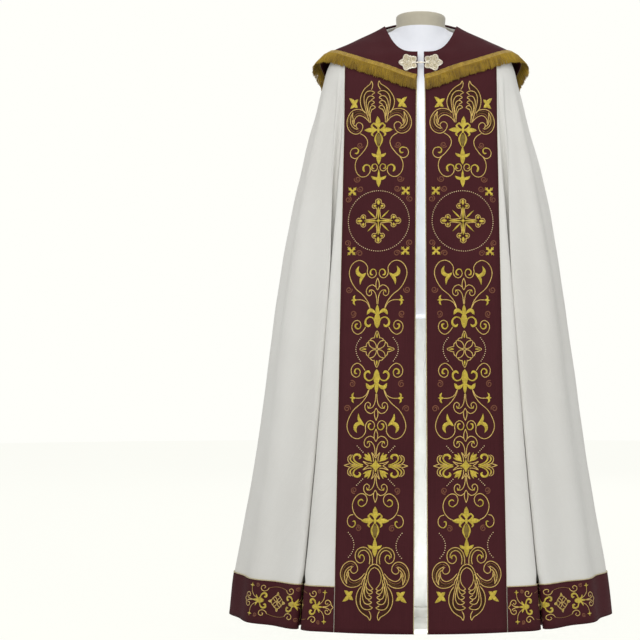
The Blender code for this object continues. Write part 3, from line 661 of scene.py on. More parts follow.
def make_drift_group():
    """Slow changes of tone over the object, at two sizes."""
    graph, given, out = new_group(
        "drift", {"Broad": 3.0, "Close": 22.0, "Close share": 0.35}, {"Tone": "NodeSocketFloat"}
    )
    place = graph.place()
    broad = graph.noise(place, given["Broad"], 2.0)
    close = graph.noise(place, given["Close"], 4.0)
    both = graph.calc("ADD", broad, graph.calc("MULTIPLY", close, given["Close share"]))
    graph.feed(out["Tone"], graph.fade(both, 0.45, 0.95))
    return graph.tree


def make_stitch_group():
    """Satin stitches side by side, each a little ridge across the shape that it fills."""
    graph, given, out = new_group(
        "stitches",
        {"Stitches per metre": 1500.0, "Slant": 0.0004},
        {"Height": "NodeSocketFloat", "Shade": "NodeSocketFloat"},
    )
    parts = graph.parts(graph.cut())
    slanted = graph.calc("ADD", parts["X"], graph.calc("MULTIPLY", parts["Y"], given["Slant"]))
    count = graph.calc("MULTIPLY", slanted, given["Stitches per metre"])
    ridge = graph.calc("ABSOLUTE", graph.calc("SINE", graph.calc("MULTIPLY", count, math.pi)))
    each = graph.add("ShaderNodeTexWhiteNoise", noise_dimensions="1D")
    graph.feed(each.inputs["W"], graph.calc("FLOOR", count))
    patches = graph.noise(graph.place(), 90.0, 2.0)
    shade = graph.calc("ADD", graph.calc("MULTIPLY", each.outputs["Value"], 0.45), patches)
    graph.feed(out["Height"], ridge)
    graph.feed(out["Shade"], graph.fade(shade, 0.35, 1.05))
    return graph.tree


def new_finish(name, roughness, metallic=0.0, **uniform):
    """(material, its Graph, its Principled shader), with the shader's plain values set."""
    material = bpy.data.materials.new(name)
    material.use_nodes = True
    shader = material.node_tree.nodes["Principled BSDF"]
    shader.inputs["Roughness"].default_value = roughness
    shader.inputs["Metallic"].default_value = metallic
    for label, value in uniform.items():
        shader.inputs[label.replace("_", " ")].default_value = value
    return material, Graph(material.node_tree), shader


def group_node(graph, group, **values):
    node = graph.add("ShaderNodeGroup", node_tree=group)
    for label, value in values.items():
        graph.feed(node.inputs[label.replace("_", " ")], value)
    return node.outputs


def bump(graph, shader, height, distance, strength=1.0):
    made = graph.add("ShaderNodeBump", Height=height, Distance=distance, Strength=strength)
    graph.feed(shader.inputs["Normal"], made.outputs[0])


def make_cloth_finish(name, light, dark, slub_colour, groups, **looks):
    """A woven cloth whose tone drifts, with a soft sheen."""
    material, graph, shader = new_finish(
        name, looks["roughness"], Sheen_Weight=looks["sheen"], Sheen_Roughness=0.45,
        Specular_IOR_Level=0.22,
    )
    shader.inputs["Sheen Tint"].default_value = light
    tone = group_node(graph, groups["drift"], Broad=looks["broad"], Close=looks["close"])["Tone"]
    woven = group_node(
        graph, groups["weave"], Threads_per_metre=looks["threads"], Diagonal=looks["diagonal"]
    )
    colour = graph.mix(tone, dark, light)
    slub = graph.calc("MULTIPLY", woven["Slub"], looks["slub"])
    graph.feed(shader.inputs["Base Color"], graph.mix(slub, colour, slub_colour))
    graph.feed(
        shader.inputs["Roughness"],
        graph.fade(tone, 0, 1, looks["roughness"] + 0.06, looks["roughness"] - 0.05),
    )
    bump(graph, shader, woven["Height"], looks["relief"], 0.6)
    return material


def make_thread_finish(name, bright, deep, groups, metallic, stitches, roughness, sheen):
    """Lustrous embroidery thread, laid in satin stitch."""
    material, graph, shader = new_finish(
        name, roughness, metallic, Sheen_Weight=sheen, Specular_IOR_Level=0.1 + 2 * sheen
    )
    stitched = group_node(graph, groups["stitches"], Stitches_per_metre=stitches)
    graph.feed(shader.inputs["Base Color"], graph.mix(stitched["Shade"], deep, bright))
    graph.feed(shader.inputs["Roughness"], graph.fade(stitched["Shade"], 0, 1, roughness + 0.12, roughness))
    bump(graph, shader, stitched["Height"], 0.0003, 0.7)
    return material


YARN_ROOT = 0.006  # the even tone under the braid ends this far down a strand
YARN_TWIST = 9000.0  # radians for each metre


def make_yarn_finish(groups):
    """The fringe's loose yarn: its tone changes from strand to strand and is even at the roots."""
    material, graph, shader = new_finish("fringe_yarn", 0.5, 0.15, Sheen_Weight=0.08)
    parts = graph.parts(graph.cut())
    strand = graph.add("ShaderNodeTexWhiteNoise", noise_dimensions="1D")
    graph.feed(strand.inputs["W"], graph.calc("FLOOR", parts["Y"]))
    tone = group_node(graph, groups["drift"], Broad=30.0, Close=160.0)["Tone"]
    own = graph.calc("MULTIPLY", strand.outputs["Value"], 0.6)
    shade = graph.calc("ADD", own, graph.calc("MULTIPLY", tone, 0.5))
    colour = graph.mix(graph.fade(shade, 0.1, 1.0), screen(120, 88, 14), screen(198, 163, 34))
    rooted = graph.mix(graph.fade(parts["X"], 0.0, YARN_ROOT), screen(172, 139, 28), colour)
    graph.feed(shader.inputs["Base Color"], rooted)
    twist = graph.calc("SINE", graph.calc("MULTIPLY", parts["X"], YARN_TWIST))
    bump(graph, shader, twist, 0.0001, 0.5)
    return material


def make_gilt_finish(name, deep, bright, groups):
    """Pale gilt metal, duller in places."""
    material, graph, shader = new_finish(name, 0.26, 0.6)
    tone = group_node(graph, groups["drift"], Broad=60.0, Close=420.0)["Tone"]
    graph.feed(shader.inputs["Base Color"], graph.mix(tone, deep, bright))
    graph.feed(shader.inputs["Roughness"], graph.fade(tone, 0, 1, 0.42, 0.2))
    bump(graph, shader, graph.noise(graph.place(), 900.0, 2.0), 0.0001, 0.4)
    return material


COVER_TOP = 1.457  # how high the form's white cover goes
COVER_EDGE = 0.0004  # half the height of its edge
COVER_PAINTED_LIGHT = (0.31, 0.33, 0.35, 1.0)  # painted light: the cover glows a little, standing in for the light that reaches it through the cope's opening
PAINTED_LIGHT_TOP = (1.29, 1.36)  # the painted light fades out between these heights
PAINTED_LIGHT_FOOT = (0.76, 0.94)  # and it falls to its least share between these
PAINTED_LIGHT_LEAST = 0.2
JERSEY_RIBS = 5200.0  # radians for each metre


def make_linen_finish(groups):
    """Plain jersey over the form, with a white cover up to the neck: fine ribs and a little pilling."""
    material, graph, shader = new_finish("form_linen", 0.85, Sheen_Weight=0.35)
    place = graph.place()
    height = graph.parts(place)["Z"]
    ribs = graph.calc("SINE", graph.calc("MULTIPLY", height, JERSEY_RIBS))
    tone = group_node(graph, groups["drift"], Broad=8.0, Close=70.0)["Tone"]
    bare = graph.mix(tone, screen(176, 168, 148), screen(196, 189, 169))
    cover = graph.mix(tone, screen(236, 238, 245), screen(246, 247, 252))
    covered = graph.fade(height, COVER_TOP - COVER_EDGE, COVER_TOP + COVER_EDGE, 1.0, 0.0)
    graph.feed(shader.inputs["Base Color"], graph.mix(covered, bare, cover))
    # Painted light: below the neck the white cover glows a little, standing in for light that comes in
    # through the cope's opening.
    shader.inputs["Emission Strength"].default_value = 1.0
    below_neck = graph.fade(height, *PAINTED_LIGHT_TOP, 1.0, 0.0)
    painted_light = graph.calc("MULTIPLY", below_neck, graph.fade(height, *PAINTED_LIGHT_FOOT, PAINTED_LIGHT_LEAST, 1.0))
    graph.feed(shader.inputs["Emission Color"], graph.mix(painted_light, (0.0, 0.0, 0.0, 1.0), COVER_PAINTED_LIGHT))
    lumps = graph.calc("ADD", graph.calc("MULTIPLY", ribs, 0.5), graph.noise(place, 700.0, 2.0))
    bump(graph, shader, lumps, 0.0003, 0.6)
    return material


def make_enamel_finish(groups):
    """White satin enamel on the cast foot and the steel pole, a little duller in places."""
    material, graph, shader = new_finish("stand_enamel", 0.36, 0.0, Coat_Weight=0.25, Coat_Roughness=0.2)
    tone = group_node(graph, groups["drift"], Broad=14.0, Close=120.0)["Tone"]
    graph.feed(shader.inputs["Base Color"], graph.mix(tone, screen(214, 214, 208), screen(232, 232, 227)))
    graph.feed(shader.inputs["Roughness"], graph.fade(tone, 0, 1, 0.44, 0.32))
    bump(graph, shader, graph.noise(graph.place(), 260.0, 3.0), 0.0002, 0.35)
    return material


# Threads: the finish's name, its bright and its deep colour, metallic, stitches for each metre, roughness
# and sheen.
THREADS = {
    "gold": ("gold_satin", (224, 201, 66), (170, 144, 30), 0.3, 1500.0, 0.36, 0.25),
    "cord": ("gold_cord", (232, 200, 112), (184, 150, 66), 0.3, 900.0, 0.36, 0.25),
    "open": ("sparse_thread", (66, 40, 18), (46, 24, 14), 0.0, 900.0, 0.75, 0.02),
    "knots": ("cream_knots", (252, 228, 180), (232, 200, 144), 0.1, 900.0, 0.5, 0.15),
    "olive": ("olive_satin", (142, 120, 56), (112, 90, 38), 0.2, 1500.0, 0.45, 0.1),
    "hair": ("dull_gold", (168, 132, 62), (124, 90, 38), 0.2, 900.0, 0.5, 0.1),
    "faint": ("tawny_thread", (132, 82, 54), (98, 56, 40), 0.0, 1500.0, 0.6, 0.08),
    "braid": ("heading_braid", (184, 150, 32), (134, 102, 16), 0.15, 800.0, 0.5, 0.25),
    "edging": ("heading_cord", (196, 162, 40), (142, 108, 18), 0.2, 1000.0, 0.5, 0.25),
    "piping": ("cream_piping", (214, 200, 158), (176, 158, 104), 0.1, 1100.0, 0.45, 0.25),
}


def make_finishes():
    groups = {"weave": make_weave_group(), "drift": make_drift_group(), "stitches": make_stitch_group()}
    finishes = {
        "ivory": make_cloth_finish(
            "ivory_cloth", screen(226, 225, 220), screen(217, 215, 209), screen(232, 231, 227), groups,
            roughness=0.72, sheen=0.25, broad=2.2, close=14.0, threads=1300.0, diagonal=1.0, slub=0.35,
            relief=0.0002,
        ),
        "burgundy": make_cloth_finish(
            "burgundy_cloth", screen(68, 21, 27), screen(56, 16, 21), screen(80, 30, 37), groups,
            roughness=0.78, sheen=0.10, broad=3.0, close=20.0, threads=1200.0, diagonal=0.0, slub=0.45,
            relief=0.0002,
        ),
    }
    for thread, (name, bright, deep, *looks) in THREADS.items():
        finishes[thread] = make_thread_finish(name, screen(*bright), screen(*deep), groups, *looks)
    finishes["yarn"] = make_yarn_finish(groups)
    # Painted highlight and shade: the filigree's gilt takes the pale colour of its highlights, and the
    # backplate is the same gilt painted darker, as shade between the wires.
    finishes["gilt"] = make_gilt_finish("clasp_gilt", screen(236, 226, 204), screen(255, 251, 240), groups)
    finishes["backplate"] = make_gilt_finish(
        "clasp_backplate", screen(186, 172, 136), screen(216, 204, 172), groups
    )
    finishes["linen"] = make_linen_finish(groups)
    finishes["enamel"] = make_enamel_finish(groups)
    return finishes


# ---------------- the cloth pieces
def orphrey_lift(share=0.5):
    """How far a layer of the orphrey lies off the body's middle surface: 0.5 is its middle, 1 its face."""
    return CLOTH / 2 + LAYER_GAP + ORPHREY_WALL * share


def make_body(finishes):
    cloth = whole_cloth(fine_rows(NECK_ROW, HEM_ROW), body_places)
    return cloth_piece("cope_body", cloth, 0.0, CLOTH, finishes["ivory"], ("body",))


def make_hem_band(finishes):
    cloth = whole_cloth(fine_rows(BAND_ROW, HEM_ROW), band_places)
    lift = CLOTH / 2 + LAYER_GAP + BAND_WALL / 2
    band = cloth_piece(
        "cope_hem_band", cloth, lift, BAND_WALL, finishes["burgundy"], ("hem_band",)
    )
    return band, cloth


def make_orphrey(side, finishes):
    cloth = half_cloth(fine_rows(ORPHREY_TOP_ROW, HEM_ROW), side, orphrey_places)
    word = SIDE_WORDS[side]
    strip = cloth_piece(
        f"cope_orphrey_{word}", cloth, orphrey_lift(), ORPHREY_WALL, finishes["burgundy"],
        (f"orphrey_{word}",),
    )
    return strip, cloth


PIPING_RADIUS = 0.0009
OPENING_PIPING_RADIUS = 0.0015
BAND_PIPING_RADIUS = PIPING_RADIUS * 1.5
PIPING_SINK = 0.0004  # how far the piping's axis lies under the orphrey's middle
BAND_PIPING_PLACE = 0.7  # and how far out it lies in the band's wall, as a share
PIPING_SIDES = 6


def make_edge_piping(orphreys, band, finishes):
    """Thin cream and gold cord along the orphreys' edges and the hem band's top."""
    heap = Heap()
    for cloth in orphreys:
        path = cloth.lifted(orphrey_lift() - PIPING_SINK)
        inner = 0 if abs(path[0, 0, 0]) < abs(path[0, -1, 0]) else -1
        for column, radius in ((inner, OPENING_PIPING_RADIUS), (-1 - inner, PIPING_RADIUS)):
            heap.tube(path[:, column], cloth.normals[:, column], radius, PIPING_SIDES)
    lift = CLOTH / 2 + LAYER_GAP + BAND_WALL * BAND_PIPING_PLACE
    heap.tube(band.lifted(lift)[0], band.normals[0], BAND_PIPING_RADIUS, PIPING_SIDES)
    return piece("cope_piping", heap.mesh("cope_piping"), finishes["piping"])


# ---------------- the hood
HOOD_STEP = 1.6  # degrees between two columns of the fine hood
HOOD_LEVELS = 36
HOOD_FRONT_BLEND = math.radians(20)  # the front edge runs straight down, and eases into the turns by here


def hood_points(side, angle, row):
    """Points of the hood's middle surface. Angles are in radians."""
    points = ring_points(ring_at(HOOD_RINGS, row), np.asarray(angle, float))
    points[..., 0] *= side
    return points


def hood_front_angle(row):
    ring = ring_at(HOOD_RINGS, row)
    return angle_of_x(ring, ring["front_gap"])


def hood_edge_row(angle):
    turned = 180 - np.abs(180 - np.degrees(angle))
    return smooth(turned, list(HOOD_EDGE), list(HOOD_EDGE.values()))


def hood_edge(side, angle):
    """(points, outward normals, directions away from the hood) on its lower edge."""
    turn, drop = 0.02, 0.02
    row = hood_edge_row(angle)
    before, after = angle - turn, angle + turn
    ends = [hood_points(side, turned_to, hood_edge_row(turned_to)) for turned_to in (before, after)]
    tangent = unit(ends[1] - ends[0])
    along = hood_points(side, angle + turn / 2, row) - hood_points(side, angle - turn / 2, row)
    down = hood_points(side, angle, row + drop) - hood_points(side, angle, row - drop)
    normal = unit(np.cross(down, along) * side)
    return hood_points(side, angle, row), normal, unit(np.cross(tangent, normal)) * side


def hood_half(side):
    """One half's grid of points: its levels by its columns, from the front edge to the back."""
    start = float(hood_front_angle(HOOD_EDGE[0]))
    columns = round(math.degrees(math.pi - start) / HOOD_STEP)
    edge_angle = np.linspace(start, math.pi, columns + 1)
    blend = np.clip((HOOD_FRONT_BLEND - edge_angle) / (HOOD_FRONT_BLEND - start), 0, 1)
    edge_row = hood_edge_row(edge_angle)
    levels = []
    for level in np.linspace(0, 1, HOOD_LEVELS + 1):
        row = level * edge_row
        angle = blend * hood_front_angle(row) + (1 - blend) * np.maximum(edge_angle, HOOD_FRONT_BLEND)
        angle = np.where(blend > 0, angle, edge_angle)
        levels.append(hood_points(side, angle, row))
    away = hood_edge(side, edge_angle)[2]
    levels.append(levels[-1] + away * FRINGE_LAP)
    return np.array(levels)


HOOD_SWELL = 0.0012  # how far soft waves lift the hood's cloth
HOOD_TOP_EASE, HOOD_FOOT_EASE = 0.2, 0.25  # the shares of its height at both edges over which they fade


def make_hood_cloth():
    left, right = hood_half(-1), hood_half(1)
    points = np.concatenate([left, right[:, -2::-1]], axis=1)
    across = run_along(points, axis=1)
    cloth = Cloth(points, across[:, -1:] / 2 - across)
    level = np.linspace(0, 1, len(points))[:, None]
    turn = np.linspace(-1, 1, points.shape[1])[None, :]
    waves = np.sin(turn * 19 + level * 3) * np.sin(level * 5 + turn * 4)
    waves = waves + 0.5 * np.sin(turn * 41 - level * 7)
    inside = step_between(0, HOOD_TOP_EASE, level) * step_between(0, HOOD_FOOT_EASE, 1 - level)
    return Cloth(cloth.lifted(0) + cloth.normals * (waves * inside * HOOD_SWELL)[..., None], cloth.across)


def make_hood(finishes):
    cloth = make_hood_cloth()
    burgundy = finishes["burgundy"]
    return cloth_piece("cope_hood", cloth, 0.0, HOOD_WALL, burgundy, ("hood",)), cloth


# ---------------- the fringe
STRAND_COUNT = 5400
STRAND_STEPS = 5
STRAND_RADIUS = 0.00055
STRAND_EXTRA = 0.0025  # how far the loose ends hang past the frame's fringe
STRAND_LAYERS = (0.0, 0.0008)  # how far out each layer of strands starts
STRAND_TUCK = 0.001  # how far a strand starts inside the heading
STRAND_SAG = 0.45  # how far a strand bows out before it hangs
STRAND_TAPER = 0.35
STRAND_UNEVEN = 0.045  # how much the strands' lengths differ, as a share
STRAND_STRAY = 0.0016  # how far their ends stray, in metres
STRAND_CURL = 0.0007
STRAND_LOFT = 0.0005
LOCKS = 190  # strands gather into about this many loose locks
LOCK_GATHER = 0.75
LOCK_SWAY = 0.0016
LOCK_LENGTH = 0.0012  # how much the locks' lengths differ
HEADING_OFF_HOOD = HOOD_WALL / 2 + FRINGE_LIFT + 0.0008  # to the heading's middle surface
HEADING_COLUMNS, HEADING_ROWS = 700, 9
HEADING_SWELL = 0.0004
HEADING_WALL = 0.0012
HEADING_CORDS = ((0.0006, 0.0011), (0.0050, 0.0009), (0.0094, 0.0012))  # place on the heading, radius
CORD_LIFT = 0.0007
CORD_TWIST, CORD_RIPPLE = 2600, 0.22  # radians for each metre, and the share of the radius


def fringe_edge(count):
    """hood_edge at even distances along the whole edge, from the left front round to the right front."""
    angles = np.linspace(float(hood_front_angle(HOOD_EDGE[0])), math.pi, 600)
    arcs = run_along(hood_points(1, angles, hood_edge_row(angles)))
    half = arcs[-1]
    distance = (np.arange(count) + 0.5) / count * 2 * half
    angle = np.interp(np.minimum(distance, 2 * half - distance), arcs, angles)
    left, right = hood_edge(-1, angle), hood_edge(1, angle)
    first = (distance <= half)[:, None]
    return [np.where(first, a, b) for a, b in zip(left, right)], distance


def make_fringe_strands(finishes):
    chance = np.random.default_rng(7)
    (point, normal, away), distance = fringe_edge(STRAND_COUNT)
    out = unit(normal * (1, 1, 0))
    splay = FRINGE_SPLAY + (FRINGE_TIP_SPLAY - FRINGE_SPLAY) * np.abs(out[:, :1]) ** FRINGE_TIP_POWER
    hang = unit(np.array([0, 0, -1.0]) + out * splay + away * FRINGE_FOLLOW)
    beside = unit(np.cross(normal, away))
    lock = np.arange(STRAND_COUNT) * LOCKS / STRAND_COUNT
    to_lock = (lock - np.floor(lock) - 0.5) * 2 * distance[-1] / LOCKS / 2
    t = np.linspace(0, 1, STRAND_STEPS + 1)[:, None]
    radii = STRAND_RADIUS * (1 - STRAND_TAPER * t[:, 0] ** 3)
    faces = grid_faces(len(t), 3, closed=True)[:, ::-1].tolist()
    heap = Heap()
    for i in range(STRAND_COUNT):
        layer = STRAND_LAYERS[i % len(STRAND_LAYERS)]
        root = point[i] + normal[i] * (HEADING_OFF_HOOD + layer) + away[i] * (FRINGE_HEADING - STRAND_TUCK)
        length = (FRINGE_LENGTH + STRAND_EXTRA) * (1 + chance.normal(0, STRAND_UNEVEN))
        length += LOCK_LENGTH * math.sin(lock[i] * 2.1)
        stray = chance.normal(0, STRAND_STRAY)
        gather = -to_lock[i] * LOCK_GATHER + LOCK_SWAY * math.sin(lock[i] // 1 * 5.7)
        curl = chance.normal(0, STRAND_CURL)
        fallen = (1 - STRAND_SAG) * t + STRAND_SAG * t * t
        path = root + length * (away[i] * (t - t * t) * STRAND_SAG + hang[i] * fallen)
        path += beside[i] * ((stray + gather) * t**1.6 + curl * np.sin(t * 5))
        path += normal[i] * chance.normal(0, STRAND_LOFT) * t
        rings = tube_points(path, np.repeat(normal[i][None], len(path), axis=0), radii, 3)
        along = np.linspace(0, length, len(path))
        uvs = np.stack([np.repeat(along, 3), np.full(3 * len(path), i + 0.5)], axis=-1)
        heap.add(rings, faces, uvs)
    strands = heap.mesh("fringe_strands")
    return piece("fringe_strands", strands, finishes["yarn"], ("fringe",))


def make_fringe_heading(finishes):
    """The woven heading: a flat braid with a cord on each edge and one along its middle."""
    (point, normal, away), distance = fringe_edge(HEADING_COLUMNS)
    down = np.linspace(0, FRINGE_HEADING, HEADING_ROWS)[:, None, None]
    swell = HEADING_SWELL * np.sin(np.linspace(0, math.pi, HEADING_ROWS))
    lift = (HEADING_OFF_HOOD + swell)[:, None, None]
    cloth = Cloth(point + away * down + normal * lift, np.repeat(distance[None], HEADING_ROWS, axis=0))
    strip = cloth_piece("fringe_heading", cloth, 0.0, HEADING_WALL, finishes["braid"])
    heap = Heap()
    ripple = 1 + CORD_RIPPLE * np.sin(distance * CORD_TWIST)
    for place, radius in HEADING_CORDS:
        path = point + away * place + normal * (HEADING_OFF_HOOD + CORD_LIFT)
        heap.tube(path, normal, radius * ripple, 5)
    cords = piece("fringe_cords", heap.mesh("fringe_cords"), finishes["edging"])
    return strip, cords


# ---------------- the clasp
PLATE_FACE = HOOD_WALL / 2 + LAYER_GAP + 0.0020  # from the hood's middle surface to a plate's face
PLATE_REACH = 18.5  # millimetres from a plate's centre to its edge, between its lobes and its waists
PLATE_LOBE = 0.16
PLATE_STRETCH = 1.08
WIRE = 0.62  # a filigree wire's radius in millimetres

# Half of a plate's filigree in millimetres from its centre, with the opening to the left: wires as (radius,
# points), which are mirrored to the lower half.
PLATE_WIRES = (
    (0.85, ((-15.5, 0.8), (-11, 2.6), (-6.5, 7.4), (-8.4, 12.4), (-4.0, 16.4), (-1.6, 11.0), (-3.8, 7.0))),
    (
        WIRE,
        ((-11, 1.4), (-5, 2.2), (-1, 6.4), (3, 13.4), (8.4, 15.2), (10.6, 10.6), (7, 7.2), (4.4, 10)),
    ),
    (WIRE, ((1.0, 1.2), (6.4, 2.6), (11.6, 7.0), (16.4, 7.4), (17.4, 3.2), (13.6, 1.8), (12.2, 4.2))),
    (WIRE, ((-2.2, 16.0), (0.6, 17.4), (2.2, 14.6), (0.4, 11.6))),
    (WIRE, ((8.2, 0.6), (14.6, 0.8), (21.4, 0.2))),
)
PLATE_BEADS = (  # (across, up, radius), the upper half again
    (-9.2, 4.4, 1.1), (-6.0, 13.0, 1.2), (5.6, 12.2, 1.1), (8.6, 5.4, 1.0), (14.8, 4.8, 1.1),
    (19.2, 2.2, 0.8), (-12.6, 3.4, 0.8), (11.6, 11.8, 0.9), (0.6, 14.8, 0.8),
)
MIDDLE_BEADS = [(-17.2, 0, 1.3), (22.0, 0, 1.2), (0, 0, 2.3)]
BOSS_PETALS = 8
BOSS_RADIUS, PETAL_RADIUS = 4.4, 1.35
BEAD_SIDES = 10
BEAD_TILTS = (-0.2, 0.25, 0.7, 1.15)  # the rings of a bead, from the face up, in radians
PLATE_EDGE_POINTS = 97
RIM_INSET = 0.7  # millimetres from a plate's edge in to its rim's middle
RIM_LIFT, RIM_RADIUS = 0.0004, 0.0009
SECOND_RIM = 0.88  # the size of the thinner wire inside the rim, as a share of the rim's
SECOND_LIFT, SECOND_RADIUS = 0.0003, 0.0005
WIRE_STEP = 0.7  # millimetres between two rings of a filigree wire
WIRE_LIFT, WIRE_TAPER = 0.7, 0.35  # shares of its radius
GRAIN_HEIGHT = 1.2
PLATE_START = (0.35, 1.5)  # the angle and the row on the hood from where a place on a plate is looked for
PLATE_SEARCH = 30


def plate_face(side, places):
    """(points, normals) on the face of a clasp plate, at millimetres across from its centre and up."""
    x, z = CLASP_CENTRE_X + np.asarray(places)[:, 0] * MM, CLASP_HEIGHT + np.asarray(places)[:, 1] * MM
    angle, row = (np.full(len(x), start) for start in PLATE_START)
    step = 0.001
    for _ in range(PLATE_SEARCH):
        here = hood_points(1, angle, row)
        by_angle = (hood_points(1, angle + step, row) - here) / step
        by_row = (hood_points(1, angle, row + step) - here) / step
        miss_x, miss_z = x - here[:, 0], z - here[:, 2]
        scale = by_angle[:, 0] * by_row[:, 2] - by_angle[:, 2] * by_row[:, 0]
        angle = np.clip(angle + (miss_x * by_row[:, 2] - miss_z * by_row[:, 0]) / scale, 0.02, 1.5)
        row = np.clip(row + (by_angle[:, 0] * miss_z - by_angle[:, 2] * miss_x) / scale, 0.02, 3.0)
    along = hood_points(side, angle + 0.01, row) - hood_points(side, angle - 0.01, row)
    down = hood_points(side, angle, row + 0.01) - hood_points(side, angle, row - 0.01)
    normal = unit(np.cross(down, along) * side)
    return hood_points(side, angle, row) + normal * PLATE_FACE, normal


def bead(heap, point, normal, radius, height):
    """A round grain of metal that sits on the face. Its height is a share of its radius."""
    side = unit(np.cross(normal, (0.0, 0.0, 1.0)))
    above = np.cross(side, normal)
    turns = 2 * math.pi * np.arange(BEAD_SIDES) / BEAD_SIDES
    spokes = side * np.cos(turns)[:, None] + above * np.sin(turns)[:, None]
    points = np.concatenate([
        point + (spokes * math.cos(tilt) + normal * (math.sin(tilt) + 0.1) * height) * radius
        for tilt in BEAD_TILTS
    ])
    heap.add(points, capped_faces(len(BEAD_TILTS), BEAD_SIDES), points[:, :2])


def make_clasp_filigree(side, finishes):
    """Wires, grains and a flower boss on the face of one plate."""
    heap = Heap()
    edge = []
    for turn in np.linspace(0, 2 * math.pi, PLATE_EDGE_POINTS)[:-1]:
        reach = PLATE_REACH * (1 + PLATE_LOBE * math.cos(5 * turn)) - RIM_INSET
        edge.append((reach * math.cos(turn) * PLATE_STRETCH, reach * math.sin(turn)))
    point, normal = plate_face(side, edge)
    heap.tube(point + normal * RIM_LIFT, normal, RIM_RADIUS, 6, closed=True)
    point, normal = plate_face(side, [(x * SECOND_RIM, y * SECOND_RIM) for x, y in edge])
    heap.tube(point + normal * SECOND_LIFT, normal, SECOND_RADIUS, 5, closed=True)
    for radius, points in PLATE_WIRES:
        for way in (1, -1):
            places, share = resampled([(x, y * way) for x, y in points], WIRE_STEP)
            point, normal = plate_face(side, places)
            radii = radius * MM * (1 - WIRE_TAPER * np.abs(2 * share - 1) ** 3)
            heap.tube(point + normal * radius * MM * WIRE_LIFT, normal, radii, 6)
    beads = [(x, y * way, r) for x, y, r in PLATE_BEADS for way in (1, -1)] + MIDDLE_BEADS
    beads += [(x, y, PETAL_RADIUS) for x, y in ring_of(BOSS_RADIUS, count=BOSS_PETALS)[:-1]]
    point, normal = plate_face(side, [(x, y) for x, y, _ in beads])
    for i, (_, _, radius) in enumerate(beads):
        bead(heap, point[i], normal[i], radius * MM, GRAIN_HEIGHT)
    name = f"clasp_filigree_{SIDE_WORDS[side]}"
    return piece(name, heap.mesh(name), finishes["gilt"])


BAR_LIFT = PLATE_FACE + 0.0032  # from the hood's middle surface to the bar's axis
BAR_FREE = 9.0  # millimetres from the middle, up to which the bar bridges the opening
BAR_SIDES = 14
# The bar's turned profile: millimetres from its middle, and radius.
BAR_PROFILE = (
    (0, 2.8), (1.2, 2.7), (2.2, 2.3), (2.7, 1.9), (3.2, 2.2), (3.9, 2.2), (4.4, 1.8), (8.0, 1.6),
    (11.6, 1.7), (12.2, 2.1), (13.0, 2.3), (13.8, 2.0), (14.4, 1.6), (17.0, 1.4), (18.4, 1.7),
    (19.6, 1.9), (20.6, 1.5), (21.0, 0.5),
)


def make_clasp_bar(finishes):
    """The bar of the hook, turned with a knop in its middle and at each end."""
    half = np.array(BAR_PROFILE)
    across = np.concatenate([-half[:0:-1, 0], half[:, 0]])
    radii = np.concatenate([half[:0:-1, 1], half[:, 1]]) * MM
    over = np.maximum(np.abs(across), BAR_FREE) - CLASP_CENTRE_X / MM
    ends, normals = plate_face(1, np.stack([over, 0 * across], axis=-1))
    y = ends[:, 1] + normals[:, 1] * (BAR_LIFT - PLATE_FACE)
    path = np.stack([across * MM, y, np.full(len(across), CLASP_HEIGHT)], axis=-1)
    heap = Heap()
    heap.tube(path, np.tile((0.0, -1.0, 0.0), (len(path), 1)), radii, BAR_SIDES)
    return piece("clasp_bar", heap.mesh("clasp_bar"), finishes["gilt"], ("clasp_hook",))


def refinish(name, material):
    """Gives a node of the frame that is shown as it is its own finish."""
    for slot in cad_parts[name].material_slots:
        slot.material = material


def finish_clasp(finishes):
    for side in (-1, 1):
        make_clasp_filigree(side, finishes)
        # The plates take the gilt painted darker, as shade between the filigree's wires.
        refinish(f"clasp_{SIDE_WORDS[side]}", finishes["backplate"])
    make_clasp_bar(finishes)


# ---------------- the dress form
FORM_COLUMNS = 96
FORM_STEPS = 5  # rows of the fine form between two rings
FORM_GIRTH = 0.15  # the radius that its cloth's pattern is laid out for
FORM_CROWN = 0.0012  # how far the neck's top is domed
FORM_SHARP = math.radians(50)


def make_torso(finishes):
    rows = np.linspace(0, len(FORM_RINGS) - 1, (len(FORM_RINGS) - 1) * FORM_STEPS + 1)
    turns = np.linspace(0, 2 * math.pi, FORM_COLUMNS + 1)[:-1]
    points = np.array([ring_points(ring_at(FORM_RINGS, row), turns) for row in rows])
    down = run_along(points[:, 0])
    uvs = np.stack(np.meshgrid(down, turns * FORM_GIRTH, indexing="ij"), axis=-1).reshape(-1, 2)[:, ::-1]
    faces = grid_faces(len(rows), FORM_COLUMNS, closed=True)[:, ::-1].tolist()
    last = (len(rows) - 1) * FORM_COLUMNS
    top = points[0].mean(axis=0) + (0, 0, FORM_CROWN)
    points = np.concatenate([points.reshape(-1, 3), [top]])
    faces += [[s, (s + 1) % FORM_COLUMNS, len(points) - 1] for s in range(FORM_COLUMNS)]
    faces.append([last + s for s in range(FORM_COLUMNS)][::-1])
    mesh = mesh_from("form_torso_fine", points, faces, np.concatenate([uvs, [[0, 0]]]))
    mesh.set_sharp_from_angle(angle=FORM_SHARP)
    return piece("form_torso_fine", mesh, finishes["linen"], ("form_torso",))


